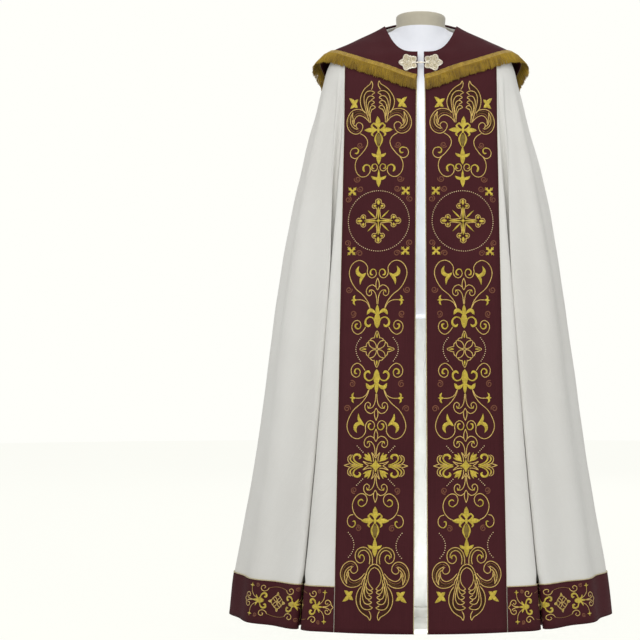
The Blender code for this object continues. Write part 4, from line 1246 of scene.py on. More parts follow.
# ---------------- needlework
# A stroke is (kind, half width, peak, points): a smooth line through points in millimetres, across and up
# from the motif's origin. Its kind says what it is sewn as:
#   line     a fine couched cord
#   dots     a row of small knots
#   leaf     satin stitch, pointed at both ends, widest at the peak
#   horn     satin stitch that swells towards its rounded end
#   hair     one thin darker thread
#   faint    a thread near the ground's tone
#   open     sparse dark thread between two lines
#   filling  olive satin inside an outline
LINE_STEP = 1.9  # millimetres between two rows of points along a stroke
SATIN_STEP = 1.5
LINE_HALF = 1.0
FAINT_HALF = 1.4
HAIR_HALF = 0.6
KNOT_SPACING = 5.2
KNOT_RADIUS = 1.25
KNOT_SIDES = 6
KNOT_RINGS = ((1.0, -0.05), (0.8, 0.65), (0.3, 0.95))  # share of the radius, height
FULL_HEIGHT = 2.0  # a stroke this wide has its section's whole height, and a narrower one has less
HEIGHT_LEAST = 0.3
COIL_STEP = 32  # degrees between two points of a spiral
COIL_POWER = 0.85
SATIN = ((-1.0, -0.08), (-0.72, 0.62), (0.0, 1.0), (0.72, 0.62), (1.0, -0.08))
SECTIONS = {  # across each kind of stroke: (share of the half width, height in millimetres)
    "line": ((-1.0, -0.08), (-0.55, 0.62), (0.55, 0.62), (1.0, -0.08)),
    "leaf": SATIN,
    "horn": SATIN,
    "hair": ((-1.0, -0.06), (0.0, 0.35), (1.0, -0.06)),
    "faint": ((-1.0, -0.08), (-0.5, 0.35), (0.5, 0.35), (1.0, -0.08)),
    "open": ((-1.0, -0.04), (-0.5, 0.14), (0.5, 0.14), (1.0, -0.04)),
    "filling": ((-1.0, -0.04), (-0.5, 0.4), (0.5, 0.4), (1.0, -0.04)),
}
KIND_THREAD = {
    "line": "cord", "dots": "knots", "leaf": "gold", "horn": "gold", "hair": "hair", "faint": "faint",
    "open": "open", "filling": "olive",
}


def coil(centre, first_radius, last_radius, start, sweep):
    """Points of a spiral. start and sweep are in degrees, anticlockwise."""
    count = max(4, round(abs(sweep) / COIL_STEP))
    made = []
    for i in range(count + 1):
        share = i / count
        angle = math.radians(start + sweep * share)
        radius = first_radius + (last_radius - first_radius) * share**COIL_POWER
        made.append((centre[0] + radius * math.cos(angle), centre[1] + radius * math.sin(angle)))
    return made


def ring_of(radius, centre=(0, 0), count=40):
    turns = np.linspace(0, 2 * math.pi, count + 1)
    return [(centre[0] + radius * math.cos(t), centre[1] + radius * math.sin(t)) for t in turns]


def turned(strokes, degrees):
    c, s = math.cos(math.radians(degrees)), math.sin(math.radians(degrees))
    return [(k, w, p, [(x * c - y * s, x * s + y * c) for x, y in points]) for k, w, p, points in strokes]


def moved(strokes, across, up, size=1.0):
    return [
        (k, w * size, p, [(x * size + across, y * size + up) for x, y in points])
        for k, w, p, points in strokes
    ]


def stretched(strokes, wide, tall):
    return [(k, w, p, [(x * wide, y * tall) for x, y in points]) for k, w, p, points in strokes]


def flipped(strokes):
    return stretched(strokes, 1, -1)


def both(strokes):
    """The strokes, and the same ones mirrored to the other side."""
    return strokes + stretched(strokes, -1, 1)


def four_ways(strokes):
    return [stroke for quarter in range(4) for stroke in turned(strokes, 90 * quarter)]


def line(*points, half_width=LINE_HALF):
    return ("line", half_width, 0.5, list(points))


def leaf(half_width, peak, *points):
    return ("leaf", half_width, peak, list(points))


def horn(half_width, *points):
    return ("horn", half_width, 0.8, list(points))


def open_fill(half_width, *points):
    return ("open", half_width, 0.5, list(points))


def hair(*points):
    return ("hair", HAIR_HALF, 0.5, list(points))


def dots(*points):
    return ("dots", KNOT_RADIUS, 0.5, list(points))


def faint_spiral(across, up, radius, start=200, way=1):
    return ("faint", FAINT_HALF, 0.5, coil((across, up), radius, radius * 0.24, start, 540 * way))


# ---------------- the motifs, in millimetres
def three_lobed(length=17, spread=15, drop=22):
    """A small solid fleur: two side lobes and a long tip that points down."""
    side = [
        leaf(3.8, 0.45, (0.6, -2.5), (spread * 0.45, -2.2), (spread * 0.8, 0.6), (spread, 4)),
        leaf(2.4, 0.4, (0.5, -4.5), (3.4, -7), (4.6, -10.5)),
    ]
    return both(side) + [
        leaf(5.8, 0.42, (0, 5.5), (0, -6), (0, -drop)),
        leaf(3, 0.6, (0, length), (0, 5), (0, -6)),
    ]


def star_finial(long_tip=20):
    """Four pointed lobes in a saltire. The longest points up and outwards."""
    tips = ((1, 1, long_tip), (-1, 1, long_tip * 0.72), (1, -1, long_tip * 0.74), (-1, -1, 13))
    strokes = [leaf(3.4, 0.5, (-5.2, 0), (0, 0.4), (5.2, 0)), leaf(3.4, 0.5, (0, -5.2), (0, 5.2))]
    for x, y, length in tips:
        x_tip, y_tip = x * length / math.sqrt(2), y * length / math.sqrt(2)
        strokes.append(leaf(4.6, 0.42, (-x * 1.5, -y * 1.5), (x_tip * 0.42, y_tip * 0.56), (x_tip, y_tip)))
    return strokes


def small_cross():
    """Four rounded petals in a saltire, each with a notch beside it."""
    petal = [
        leaf(2.7, 0.5, (-1.6, -1.6), (3.6, 3.6), (9.6, 9.6)),
        leaf(1.7, 0.5, (3.6, 3.2), (6.8, 4.4), (9.4, 3.4)),
        leaf(1.7, 0.5, (3.2, 3.6), (4.4, 6.8), (3.4, 9.4)),
    ]
    return four_ways(petal)


def fleur_outline():
    """A fleur-de-lis in outline: a petal over two curls, with the stem down to the origin."""
    side = [
        line((0, 62), (4, 50), (3.6, 40), (0, 33)),
        line((3.4, 40), (12, 45.5), (22, 42), (27.6, 33), (26, 23.5), (20, 20), (14.4, 24), (15.4, 30.5)),
        line((1.1, 0), (2.4, 16), (6, 27), (12, 33), (18.6, 33), (21, 27.5)),
        leaf(1.7, 0.5, (15.4, 30.5), (18.8, 33.4), (20.4, 28)),
    ]
    return both(side)


def fleury_cross():
    """Three arms with a pointed tip and two barbs each, pierced between them, over a lozenge pendant."""
    arm = [
        leaf(3, 0.5, (0, 0.5), (0, 9), (0, 18)),
        leaf(5.7, 0.42, (0, 8.5), (0, 20), (0, 32)),
        *both([leaf(2.7, 0.55, (0.8, 3), (4.2, 11.4), (10, 15.2), (15.4, 11.2))]),
    ]
    strokes = arm + turned(arm, 90) + turned(arm, -90) + [leaf(3.4, 0.5, (0, -8), (0, 0), (0, 8))]
    strokes += [("filling", 6.2, 0.5, [(0, -9), (0, -22), (0, -35)])]
    strokes += both([leaf(2.1, 0.5, (0.4, -4), (5.2, -12), (8, -22), (5.2, -32), (0.8, -42))])
    strokes += [leaf(5.2, 0.7, (0, -33), (0, -48), (0, -66))]
    return strokes + moved(three_lobed(length=13, spread=16, drop=23), 0, -58)


# A feather's arch: shares of its reach, and how far each of them is above the tip.
FEATHER_ARCH = ((0.20, 3.6), (0.48, 4.8), (0.76, 2.4), (0.95, -5), (1, -15))
# A wing's smaller feathers: the tip, how far out the arch reaches, and where it runs in at the root.
FEATHERS = (
    ((3.4, 87.8), 29, (25.4, 38), (19.6, 17)),
    ((5.4, 75.8), 21.6, (24.4, 49), (22.8, 40)),
    ((5.4, 64.4), 17.6, (22, 42), (20.8, 33)),
    ((3.6, 52.8), 15.6, (18.8, 34), (18.2, 25)),
)


def feather(tip, reach, *root):
    """One feather of a wing: an arch from its tip down to the root, and the tip's short underside."""
    x, y = tip
    return [
        line(tip, *((x + reach * share, y + rise) for share, rise in FEATHER_ARCH), *root),
        line(tip, (x + 4.4, y - 2), (x + 8.6, y - 5)),
        open_fill(
            2.1, (x + 4.5, y + 0.6), (x + reach * 0.46, y + 1.2), (x + reach * 0.78, y - 3.6),
            (x + reach * 0.84, y - 15),
        ),
    ]


def wing():
    """One upright wing of five feathers, its root at (19, 16) beside the cross."""
    strokes = [
        line(
            (10, 116.4), (14.4, 109), (23, 103.6), (32, 96.4), (38, 87), (41.6, 75.4), (41.4, 62.6),
            (37, 50), (29.4, 40),
        ),
        line((10, 116.4), (7.6, 110), (8.4, 102.6), (12.4, 95)),
        open_fill(2.6, (12.4, 107.5), (20.5, 99.6), (30.4, 91), (37, 77.6), (37, 62), (31, 46)),
    ]
    for row in FEATHERS:
        strokes += feather(*row)
    return strokes


def volute():
    """The big side scroll beside the cross: lines round a curl, with a crescent leaf in it."""
    return [
        line(
            (27.6, 40), (35, 46.4), (46, 49.6), (55.4, 49.4), (64.4, 45.4), (71.8, 35.6), (75.4, 22.8),
            (73.8, 10), (67.6, -0.8), (58.2, -7.2), (49, -8.2), (42, -4.4), (37.2, 2.8), (36.4, 11.6),
            (41, 17.2), (47.4, 18.2), (52.2, 13.4), (50.6, 6.2), (46, 3),
        ),
        line((19.2, 17.4), (28, 27.4), (36.4, 32.8), (44.6, 35), (52.6, 31.4), (56.8, 24.2), (57, 16)),
        line((61, 43), (65.6, 33.4), (66.8, 22.6), (63.6, 12.6), (56.6, 5.6), (48.6, 2.2)),
        line((61, 43), (61.6, 34.6), (59.8, 26.6), (57, 16)),
        line((52.4, 9.6), (56, 11.6), (60.2, 17.4), (62.4, 25.4)),
        hair((62.6, 36), (63.6, 26), (61, 15.6), (54.6, 7.4)),
        hair((29, 36), (37, 42.4), (47, 45), (57, 43.4)),
        hair((25, 28.6), (34, 37), (44.4, 40.4), (53, 38), (59.6, 30)),
        hair((67.4, 38), (71.4, 26), (69.8, 12), (63, 1.8), (52.6, -3.4), (43.6, 0.4)),
        open_fill(2.6, (31, 38.4), (42, 43.2), (54, 42.4), (61.6, 36.4)),
        open_fill(2.2, (69.4, 31), (69.8, 16), (62.6, 3.4), (51, -3.6)),
    ]


def lower_scroll():
    """From the volute down: a thin stem, a spiral outwards, then a loop to two curls by the middle."""
    return [
        line(
            (43, -7), (31, -15), (25.2, -26), (26.6, -37), (34, -49), (43, -59.5), (53, -65.6),
            (62.4, -61), (65, -51), (60, -42.4), (51, -41.6),
        ),
        horn(2, (60, -42.4), (52, -40.6), (46, -46), (48.4, -53.4), (54.4, -53)),
        line(
            (45.6, -62), (51, -71), (53, -84), (49, -99), (39, -108.4), (28, -107.6), (20, -99.4),
            (17.6, -90), (12.6, -95.4), (5.4, -94.2), (2.6, -86.6), (6.4, -79.8), (13.6, -81.4),
            (15, -87.6),
        ),
        horn(2.6, (18.6, -93), (20.4, -84.4), (28, -81), (34.2, -86.4), (32.6, -95.4), (30.4, -97)),
        horn(1.8, (2.8, -86.6), (6.4, -79.8), (13.6, -81.4), (14.6, -88.4), (9.6, -90.4)),
    ]


def top_motif():
    """Wings over a cross between volutes, and scrolls down to a fleur. The origin is the cross's centre."""
    side = wing() + volute() + lower_scroll()
    side += [line((12.4, 50), (14.6, 44.6), (17, 38), (17.6, 28), (17.2, 17))]
    side += moved(star_finial(), 58, 63)
    side += [faint_spiral(42, -35, 7.6), faint_spiral(47, -114, 8, 20, -1)]
    return both(side) + fleury_cross() + moved(three_lobed(length=20, spread=16.6, drop=22), 0, -111)


MEDALLION_RING = 70.0


def medallion():
    """A plain cross with budded ends inside a ring of knots, and a small cross at each corner."""
    strokes = [dots(*ring_of(MEDALLION_RING))]
    bud = [
        line(
            (5, 5), (5, 30), (10.4, 29), (14.4, 33.6), (11.2, 39.6), (6.4, 40.4), (6.2, 47.4),
            (0, 51.6),
        ),
        leaf(3.2, 0.5, (4.6, 34.4), (8.2, 34.8), (12, 35)),
    ]
    arm = both(bud)
    arm += [leaf(2.7, 0.6, (0, 0), (0, 16), (0, 33)), leaf(3.8, 0.5, (0, 37), (0, 43), (0, 49.6))]
    arm += [open_fill(4, (0, 3), (0, 18), (0, 34))]
    arm += turned([leaf(1.9, 0.4, (0, 9), (0, 21), (0, 35))], 45)
    strokes += four_ways(arm) + [leaf(3.6, 0.5, (-4, 0), (0, 0.2), (4, 0))]
    corner = moved(small_cross(), 61.5, 69.5)
    corner += [faint_spiral(42.5, 75, 8, 20, -1), faint_spiral(71, 51, 8, 100)]
    return strokes + both(corner + flipped(corner))


def heart_scroll():
    """A heart of two loops over a fleur, side stems and a solid root. The origin is the top of the root."""
    side = [
        line(
            (17, -3), (23, 13), (36, 30), (55, 46), (67, 65), (71.6, 83), (67.4, 98), (58, 108.4),
            (45, 112), (32.4, 106.4), (25.4, 96), (25.8, 83), (22, 74.4), (14.6, 70.4), (6.8, 73.6),
            (3.4, 82), (6.6, 89.6),
        ),
        horn(2.1, (3.4, 82), (6.6, 89.6), (13, 91), (18.4, 85.4), (16.6, 78.4), (11.4, 77.6)),
        leaf(4.6, 0.52, (28.6, 82.6), (38.6, 76.6), (48.6, 80.4), (51.4, 88.6), (47, 98.6)),
        leaf(4, 0.42, (28.6, 82.6), (37, 74.6), (42, 66.4), (43.6, 54.4)),
        line((19, 0), (26, 12.4), (38.4, 18.6), (52, 19.2)),
        leaf(2.9, 0.45, (51, 18.9), (57, 18.7), (65.5, 18.2)),
        leaf(2.3, 0.5, (56, 17.6), (59.4, 24), (55.2, 30.6)),
        leaf(2.3, 0.5, (56, 19.8), (59.4, 13), (55.2, 6.2)),
        leaf(4.6, 0.62, (1.6, -17.5), (9, -8.6), (17.4, -5.4), (25.6, -15.4)),
        horn(
            2.9, (5.4, -33), (10.4, -24), (20, -21.4), (28.4, -28.4), (28, -38.4), (20.6, -42.4),
            (15.4, -37.6),
        ),
        line(
            (28, -44), (36.6, -55.6), (47.4, -61.4), (57.4, -57), (63, -46), (60, -34.4), (50, -29),
            (42, -33.4), (40.4, -42),
        ),
        horn(2.2, (42, -33.4), (40.2, -42), (46, -48.8), (53, -46), (53.4, -38.6), (47.6, -37.4)),
        faint_spiral(72, 43, 8.6, 160),
        faint_spiral(60, -13.6, 8.6, 300, -1),
    ]
    root = [
        leaf(4.4, 0.5, (0, 8), (0, -4), (0, -20)),
        leaf(6.6, 0.66, (0, -8), (0, -28), (0, -47.5)),
        *both([leaf(3.4, 0.5, (-3.6, -14), (-4.4, -29), (-2.8, -44))]),
    ]
    return both(side) + root + moved(fleur_outline(), 0, 8.5)


def knotwork():
    """Two interlaced loops with a pointed leaf on each axis, between two arcs of knots."""
    quarter = [
        leaf(2, 0.4, (0, 27), (0, 32), (0, 40)),
        line((-6.6, 26.4), (-5.6, 33), (0, 44.6), (5.6, 33), (6.6, 26.4)),
        line((6.2, 27.4), (11, 27.4), (16.6, 23.2), (14.4, 19.4)),
        line((27.4, 6.2), (27.4, 11), (23.2, 16.6), (19.4, 14.4)),
        line((1.2, 1.4), (2.2, 10), (8.4, 18.6), (17.8, 21.6), (20.6, 20.6)),
        line((1.4, 1.2), (10, 2.2), (18.6, 8.4), (21.6, 17.8), (20.6, 20.6)),
    ]
    return four_ways(quarter) + both([dots((41.5, 28), (51.5, 14), (54.6, 0), (51.8, -14), (42.5, -29))])


def rosette():
    """Notched petals on the axes and tulips on the diagonals, with scrolled leaves on both sides."""
    quarter = both([
        line((5.4, 8.4), (5.8, 18), (9.9, 30.4)),
        line((9.9, 30.4), (4.6, 24.4), (0, 16.6)),
    ])
    quarter += [leaf(2.6, 0.35, (0, 4), (0, 9), (0, 15))]
    tulip = [
        leaf(4.5, 0.55, (0, 12), (0, 24), (0, 37.6)),
        *both([leaf(2.3, 0.5, (1.2, 16), (4.6, 25), (8, 34.4))]),
    ]
    strokes = [leaf(7.4, 0.5, (-11, 0), (0, 0.2), (11, 0)), leaf(7.4, 0.5, (0, -11), (0, 11))]
    strokes += four_ways(quarter + turned(tulip + [dots((0, 43), (0, 63))], 45))
    upper = [
        horn(
            2.8, (29.6, 1.6), (41, 4.8), (50.4, 11), (53, 18.6), (48.6, 24.2), (40.6, 24.4), (36.4, 19),
            (40, 14.8),
        ),
        line((42, 2.2), (53, 5.2), (59.6, 11.6), (58.8, 19.4), (54.6, 24.4)),
        line((49, 1.8), (60.4, 4), (66.6, 11.4), (65.4, 20), (58.4, 24.4)),
        leaf(1.5, 0.5, (44, 3), (55.4, 7.4), (61.6, 14), (60.4, 22)),
        line((60.4, 4.6), (67, 2.6), (76, 0)),
        leaf(1.5, 0.5, (30, 0.8), (46, 1), (62, 0.6)),
    ]
    strokes += both(upper + flipped(upper))
    spray = moved(fleur_outline(), 0, 21.5)
    return strokes + spray + flipped(spray)


def small_cross_motif():
    """A cross whose side arms run out into spirals over it, with arcs of knots beside its pendant."""
    side = [
        line(
            (29, 0.8), (41, 7), (50.4, 19.4), (53, 36), (46.6, 51.6), (34, 60.6), (23, 57.6),
            (18.8, 48), (22, 37.4), (30.2, 32),
        ),
        horn(1.7, (22, 37.4), (30.2, 31.6), (38.6, 35.4), (38.8, 43.4), (32, 47.4), (27.2, 43.6)),
        line((50.4, 13.4), (59.6, 10.4), (64.6, 0), (61.6, -11.4), (53, -15.4), (46.8, -10)),
        horn(1.7, (61.6, -11.4), (53, -15.6), (46.4, -9.6), (47.6, -1.6), (52.4, -2.6)),
        dots((62, -27.5), (53, -39), (48.8, -51), (49.4, -63), (53.6, -74), (61, -83)),
        faint_spiral(39, -17.4, 7.6, 60),
        faint_spiral(49.6, 68, 8, 250),
    ]
    return both(side) + fleury_cross()


def foot_motif():
    """Hanging wings under an oval, with volutes beside it and two curls over it."""
    side = flipped(wing()) + moved(flipped(volute()), 3, 6) + moved(flipped(star_finial()), 59, -62)
    side += [
        line((0, 1.8), (8, -2.6), (13.8, -12.6), (15.2, -24), (12.2, -35), (3, -46.6)),
        line((3, -46.6), (9.6, -49.4), (16, -46), (20.2, -37)),
        line((0, 9.4), (8.6, 5.8), (14.6, -1.6), (19.4, -13), (23.6, -25)),
        line((17.2, -13), (26.6, -26), (30.4, -38)),
        line(
            (4.8, 8.4), (5.2, 22.6), (10.2, 37), (20.8, 45.6), (33.4, 45), (42.6, 37.2), (45.2, 25.4),
            (41.2, 14.6), (32.6, 10.8), (25.4, 15.4), (24, 23.6), (28.6, 29.4),
        ),
        horn(1.7, (24.2, 18.4), (24.2, 25), (29.2, 29.6), (34.6, 26), (33.8, 20.4)),
        line((12.4, 8.4), (11, 21), (15, 33.6), (23.6, 39.6), (32.4, 37.6), (37.6, 30.6), (37.8, 23)),
        hair((8.4, 9), (8, 22), (12.4, 35.4), (22.2, 42.6), (33, 41.4), (40, 34)),
        open_fill(2.4, (8.4, 11), (8.2, 24), (14.6, 37.6), (26, 42.4), (36.8, 37.4), (41.2, 27)),
        open_fill(2.2, (1.6, 5.4), (9.4, 1.4), (15.2, -8), (18.4, -20), (19.6, -33)),
    ]
    return both(side)


def border_cluster():
    """The hem band's curled leaves, with curls, crosslets on thin stems and spirals above and below."""
    upper = [
        horn(2.9, (5, 1), (-2.5, 6.4), (-5, 13.6), (-10.4, 17.2), (-15.6, 14), (-14.4, 9), (-10.4, 9.4)),
        leaf(2.4, 0.5, (0, 2), (4.6, 6.8), (6.6, 13.4)),
        leaf(2.3, 0.45, (-11, 1.4), (-2, 4), (6, 1.4)),
        line(
            (40.5, 0), (35.4, 4.6), (33.4, 11.6), (28.2, 16), (22.4, 14.6), (20.8, 8.6), (25, 6.4),
            (27.6, 9.6),
        ),
        line((14, 0.7), (22, 1.4), (28.4, 3.6), (31.6, 7.4)),
        line((5, 5), (12.4, 11), (17.2, 19), (18.6, 28), half_width=0.75),
        leaf(1.6, 0.5, (18.6, 27), (18.7, 33), (18.8, 39)),
        leaf(1.6, 0.5, (12.8, 33), (18.7, 33.2), (24.6, 33)),
        line(
            (-20, 30.6), (-16.6, 25), (-9.6, 22), (-3.6, 25.4), (-2.8, 31.6), (-7.4, 35.2), (-12, 32),
            (-9.4, 28.2),
        ),
        faint_spiral(5.4, 34.4, 4.6, 40),
    ]
    return upper + flipped(upper) + [leaf(3.4, 0.4, (-11, 0), (0, 0), (16, 0))]


CLUSTER_PLACE = 43.0  # from a diamond's centre, in a repeat that isn't stretched


def border_motif(reach, wide):
    """One repeat of the hem band: a knotwork diamond between two arcs, and a cluster on each side."""
    diamond = [stroke for stroke in stretched(knotwork(), 0.5 * wide, 0.5) if stroke[0] != "dots"]
    arc = [hair((-25, 29.4), (-14, 33), (0, 34.4), (14, 33), (25, 29.4))]
    arc = stretched(arc, reach / CLUSTER_PLACE, 1)
    return diamond + arc + flipped(arc) + both(moved(stretched(border_cluster(), wide, 1), reach, 0))


# ---------------- sewing the motifs onto the cloth
class Ground:
    """A face of the cloth. Places on it are millimetres across and up from its own origin."""

    def __init__(self, cloth, lift, across, up):
        order = slice(None, None, -1) if across[0, 0] > across[0, -1] else slice(None)
        self.points, self.normals = cloth.lifted(lift)[:, order], cloth.normals[:, order]
        self.across, self.up = across[:, order] / MM, up[:, order] / MM

    def at(self, places):
        """(points, normals) at places that hold millimetres across and up."""
        u, v = np.asarray(places, float).T
        every = np.arange(len(u))
        rows = np.interp(-v, -self.up.mean(axis=1), np.arange(len(self.up)))
        for _ in range(3):
            r = np.clip(rows.astype(int), 0, len(self.up) - 2)
            down = (rows - r)[:, None]
            across = self.across[r] * (1 - down) + self.across[r + 1] * down
            c = np.clip((across < u[:, None]).sum(axis=1) - 1, 0, across.shape[1] - 2)
            low, high = across[every, c], across[every, c + 1]
            side = np.clip((u - low) / (high - low), -0.2, 1.2)
            heights = self.up[:, c] * (1 - side) + self.up[:, c + 1] * side
            r = np.clip((heights > v).sum(axis=0) - 1, 0, len(self.up) - 2)
            above, below = heights[r, every], heights[r + 1, every]
            rows = r + np.clip((above - v) / (above - below), 0, 1)
        down, side = (rows - r)[:, None], side[:, None]
        found = []
        for grid in (self.points, self.normals):
            upper = grid[r, c] * (1 - side) + grid[r, c + 1] * side
            lower = grid[r + 1, c] * (1 - side) + grid[r + 1, c + 1] * side
            found.append(upper * (1 - down) + lower * down)
        return found[0], unit(found[1])


def resampled(points, step):
    """Even places along the smooth curve through the points."""
    points = np.asarray(points, float)
    chords = run_along(points)
    fine = smooth(np.linspace(0, chords[-1], max(8, 6 * len(points))), chords, points)
    lengths = run_along(fine)
    count = max(3, round(lengths[-1] / step))
    even = np.linspace(0, lengths[-1], count + 1)
    return np.stack([np.interp(even, lengths, fine[:, i]) for i in (0, 1)], axis=-1), even / lengths[-1]


def half_widths(kind, half_width, peak, share):
    """The half widths of a stroke at shares of its length, as its kind and its peak shape it."""
    if kind in ("leaf", "filling"):
        swell = np.sin(math.pi * share ** (math.log(0.5) / math.log(peak)))
        return half_width * np.maximum(0.06, swell**0.8)
    if kind == "horn":
        ends = np.sqrt(np.clip(1 - ((share - peak) / (1 - peak)) ** 2, 0, 1))
        swell = np.where(share < peak, 0.42 + 0.58 * (share / peak) ** 1.4, np.maximum(0.15, ends))
        return half_width * swell
    taper = np.minimum(1, np.minimum(share, 1 - share) * 18 + 0.45)
    return half_width * taper


class Needlework:
    """The heaps of one ground's thread, by the kind of thread."""

    def __init__(self, ground):
        self.ground = ground
        self.heaps = {}

    def heap(self, thread):
        return self.heaps.setdefault(thread, Heap())

    def sew(self, strokes, across=0.0, up=0.0):
        for kind, half_width, peak, points in strokes:
            places = [(x + across, y + up) for x, y in points]
            if kind == "dots":
                self.sew_knots(places, half_width)
            else:
                self.sew_stroke(kind, half_width, peak, places)

    def sew_stroke(self, kind, half_width, peak, points):
        step = SATIN_STEP if kind in ("leaf", "horn", "filling") else LINE_STEP
        places, share = resampled(points, step)
        centre, normals = self.ground.at(places)
        along = unit(np.gradient(centre, axis=0))
        beside = unit(np.cross(normals, along))
        widths = half_widths(kind, half_width, peak, share)
        section = np.array(SECTIONS[kind])
        swell = np.minimum(1, HEIGHT_LEAST + widths[:, None] / FULL_HEIGHT)
        heights = section[:, 1][None, :] * swell
        heights = np.where(section[:, 1][None, :] < 0, section[:, 1][None, :], heights)
        offsets = beside[:, None] * (section[:, 0][None, :] * widths[:, None])[..., None]
        rows = centre[:, None] + (offsets + normals[:, None] * heights[..., None]) * MM
        length = share * np.linalg.norm(np.diff(centre, axis=0), axis=1).sum()
        across = section[:, 0][None, :] * widths[:, None] * MM
        uvs = np.stack([np.repeat(length[:, None], len(section), axis=1), across], axis=-1)
        faces = grid_faces(len(rows), len(section))[:, ::-1]
        self.heap(KIND_THREAD[kind]).add(rows, faces, uvs)

    def sew_knots(self, points, radius):
        fine, _ = resampled(points, KNOT_SPACING)
        centre, normals = self.ground.at(fine)
        along = unit(np.gradient(centre, axis=0))
        beside = unit(np.cross(normals, along))
        turns = 2 * math.pi * np.arange(KNOT_SIDES) / KNOT_SIDES
        spokes = along[:, None] * np.cos(turns)[:, None] + beside[:, None] * np.sin(turns)[:, None]
        faces = capped_faces(len(KNOT_RINGS), KNOT_SIDES)
        closed = bool(np.linalg.norm(fine[0] - fine[-1]) < 0.1)
        for i in range(len(fine) - closed):
            knot = np.concatenate([
                centre[i] + (spokes[i] * radius * share + normals[i] * height) * MM
                for share, height in KNOT_RINGS
            ])
            self.heap(KIND_THREAD["dots"]).add(knot, faces, knot[:, :2])

    def finish(self, name, finishes):
        made = []
        for thread, heap in self.heaps.items():
            label = f"{name}_{thread}"
            made.append(piece(label, heap.mesh(label), finishes[thread]))
        return made


# Each motif on the orphreys: its origin's height over the floor in millimetres, its stretch across and up.
ORPHREY_MOTIFS = (
    (top_motif, 1190.0, 1.09, 1.045),
    (medallion, 970.0, 1.04, 1.03),
    (heart_scroll, 764.0, 0.955, 1.0),
    (knotwork, 668.0, 0.91, 0.95),
    (heart_scroll, 574.0, 0.96, -1.0),
    (rosette, 401.0, 0.98, 1.0),
    (small_cross_motif, 277.0, 1.0, 1.0),
    (foot_motif, 171.0, 1.0, 1.0),
)


def orphrey_ground(cloth):
    distance = np.abs(cloth.across)
    centre = (distance[:, :1] + distance[:, -1:]) / 2
    return Ground(cloth, orphrey_lift(1.0), distance - centre, cloth.points[..., 2])


def sew_orphrey(cloth, word, finishes):
    work = Needlework(orphrey_ground(cloth))
    for motif, height, wide, tall in ORPHREY_MOTIFS:
        work.sew(stretched(motif(), wide, tall), 0.0, height)
    return work.finish(f"embroidery_{word}", finishes)


# The band's repeats: the place in millimetres from the orphrey's edge or from the back's centre, how far
# from it the clusters stand, and their stretch.
BORDER_FRONT = ((103.5, 62.0, 1.0), (308.0, 58.5, 1.36))
BACK_REPEAT = 218.0
BORDER_BACK = tuple((BACK_REPEAT * place, 51.6, 1.2) for place in range(5))
BORDER_MIDDLE = 47.0  # from the band's top edge down to the motifs' centre line


def true_across(points):
    """How far each column of a cloth lies from its middle one, along the folded cloth itself."""
    across = run_along(points, axis=1)
    middle = across.shape[1] // 2
    return across - across[:, middle : middle + 1]


def sew_border(cloth, finishes):
    lift = CLOTH / 2 + LAYER_GAP + BAND_WALL
    across = true_across(cloth.points)
    across = np.repeat(across[len(across) // 2][None], len(across), axis=0)
    work = Needlework(Ground(cloth, lift, across, -cloth.down))
    for way, end in ((-1, across[0, 0]), (1, across[0, -1])):
        places = [(abs(end) / MM - place, reach, wide) for place, reach, wide in BORDER_FRONT]
        places += BORDER_BACK if way > 0 else BORDER_BACK[1:]
        for place, reach, wide in places:
            work.sew(border_motif(reach, wide), way * place, -BORDER_MIDDLE)
    return work.finish("embroidery_band", finishes)


ROUNDEL_HEIGHT = 1.306  # its centre's, over the floor
ROUNDEL_RADIUS = 116.0  # its plain ring's, in millimetres


def roundel():
    """The hood's device: the medallion inside one more plain ring, with its spirals further out."""
    strokes = [stroke for stroke in medallion() if stroke[0] not in ("dots", "faint")]
    strokes += [dots(*ring_of(MEDALLION_RING)), line(*ring_of(ROUNDEL_RADIUS, count=60), half_width=1.5)]
    corner = [faint_spiral(42.5, 79, 8.0, 20, -1), faint_spiral(76, 51.6, 8.0, 100)]
    return strokes + both(corner + flipped(corner))


def sew_hood(cloth, finishes):
    """Sews the roundel on the hood's back, with its places measured level and along the cloth's fall."""
    middle = cloth.points.shape[1] // 2
    heights, fall = cloth.points[:, middle, 2], cloth.down[:, middle]
    origin = np.interp(-ROUNDEL_HEIGHT, -heights, fall)
    up = origin - np.interp(-cloth.points[..., 2], -heights, fall)
    across = true_across(cloth.points[..., :2])
    back = slice(middle // 2, middle + middle // 2 + 1)
    part = Cloth(cloth.points[:, back], cloth.across[:, back])
    part.normals = cloth.normals[:, back]
    work = Needlework(Ground(part, HOOD_WALL / 2, across[:, back], up[:, back]))
    work.sew(roundel())
    return work.finish("embroidery_hood", finishes)


# ---------------- floor, light and camera
CAMERA_PLACE = (0.0, -4.2, 0.655)
CAMERA_LENS = 95.7
PICTURE = 640  # the picture's side in pixels
OBJECT_CENTRE_PX = 420.7  # where the object's middle stands in the picture
HORIZON_PX = 355


def make_camera():
    data = bpy.data.cameras.new("camera")
    data.lens = CAMERA_LENS
    data.sensor_width = 36
    data.shift_x = (PICTURE / 2 - OBJECT_CENTRE_PX) / PICTURE
    data.shift_y = (HORIZON_PX - PICTURE / 2) / PICTURE
    camera = bpy.data.objects.new("camera", data)
    camera.location = CAMERA_PLACE
    camera.rotation_euler = (math.pi / 2, 0, 0)
    bpy.context.scene.collection.objects.link(camera)
    bpy.context.scene.camera = camera


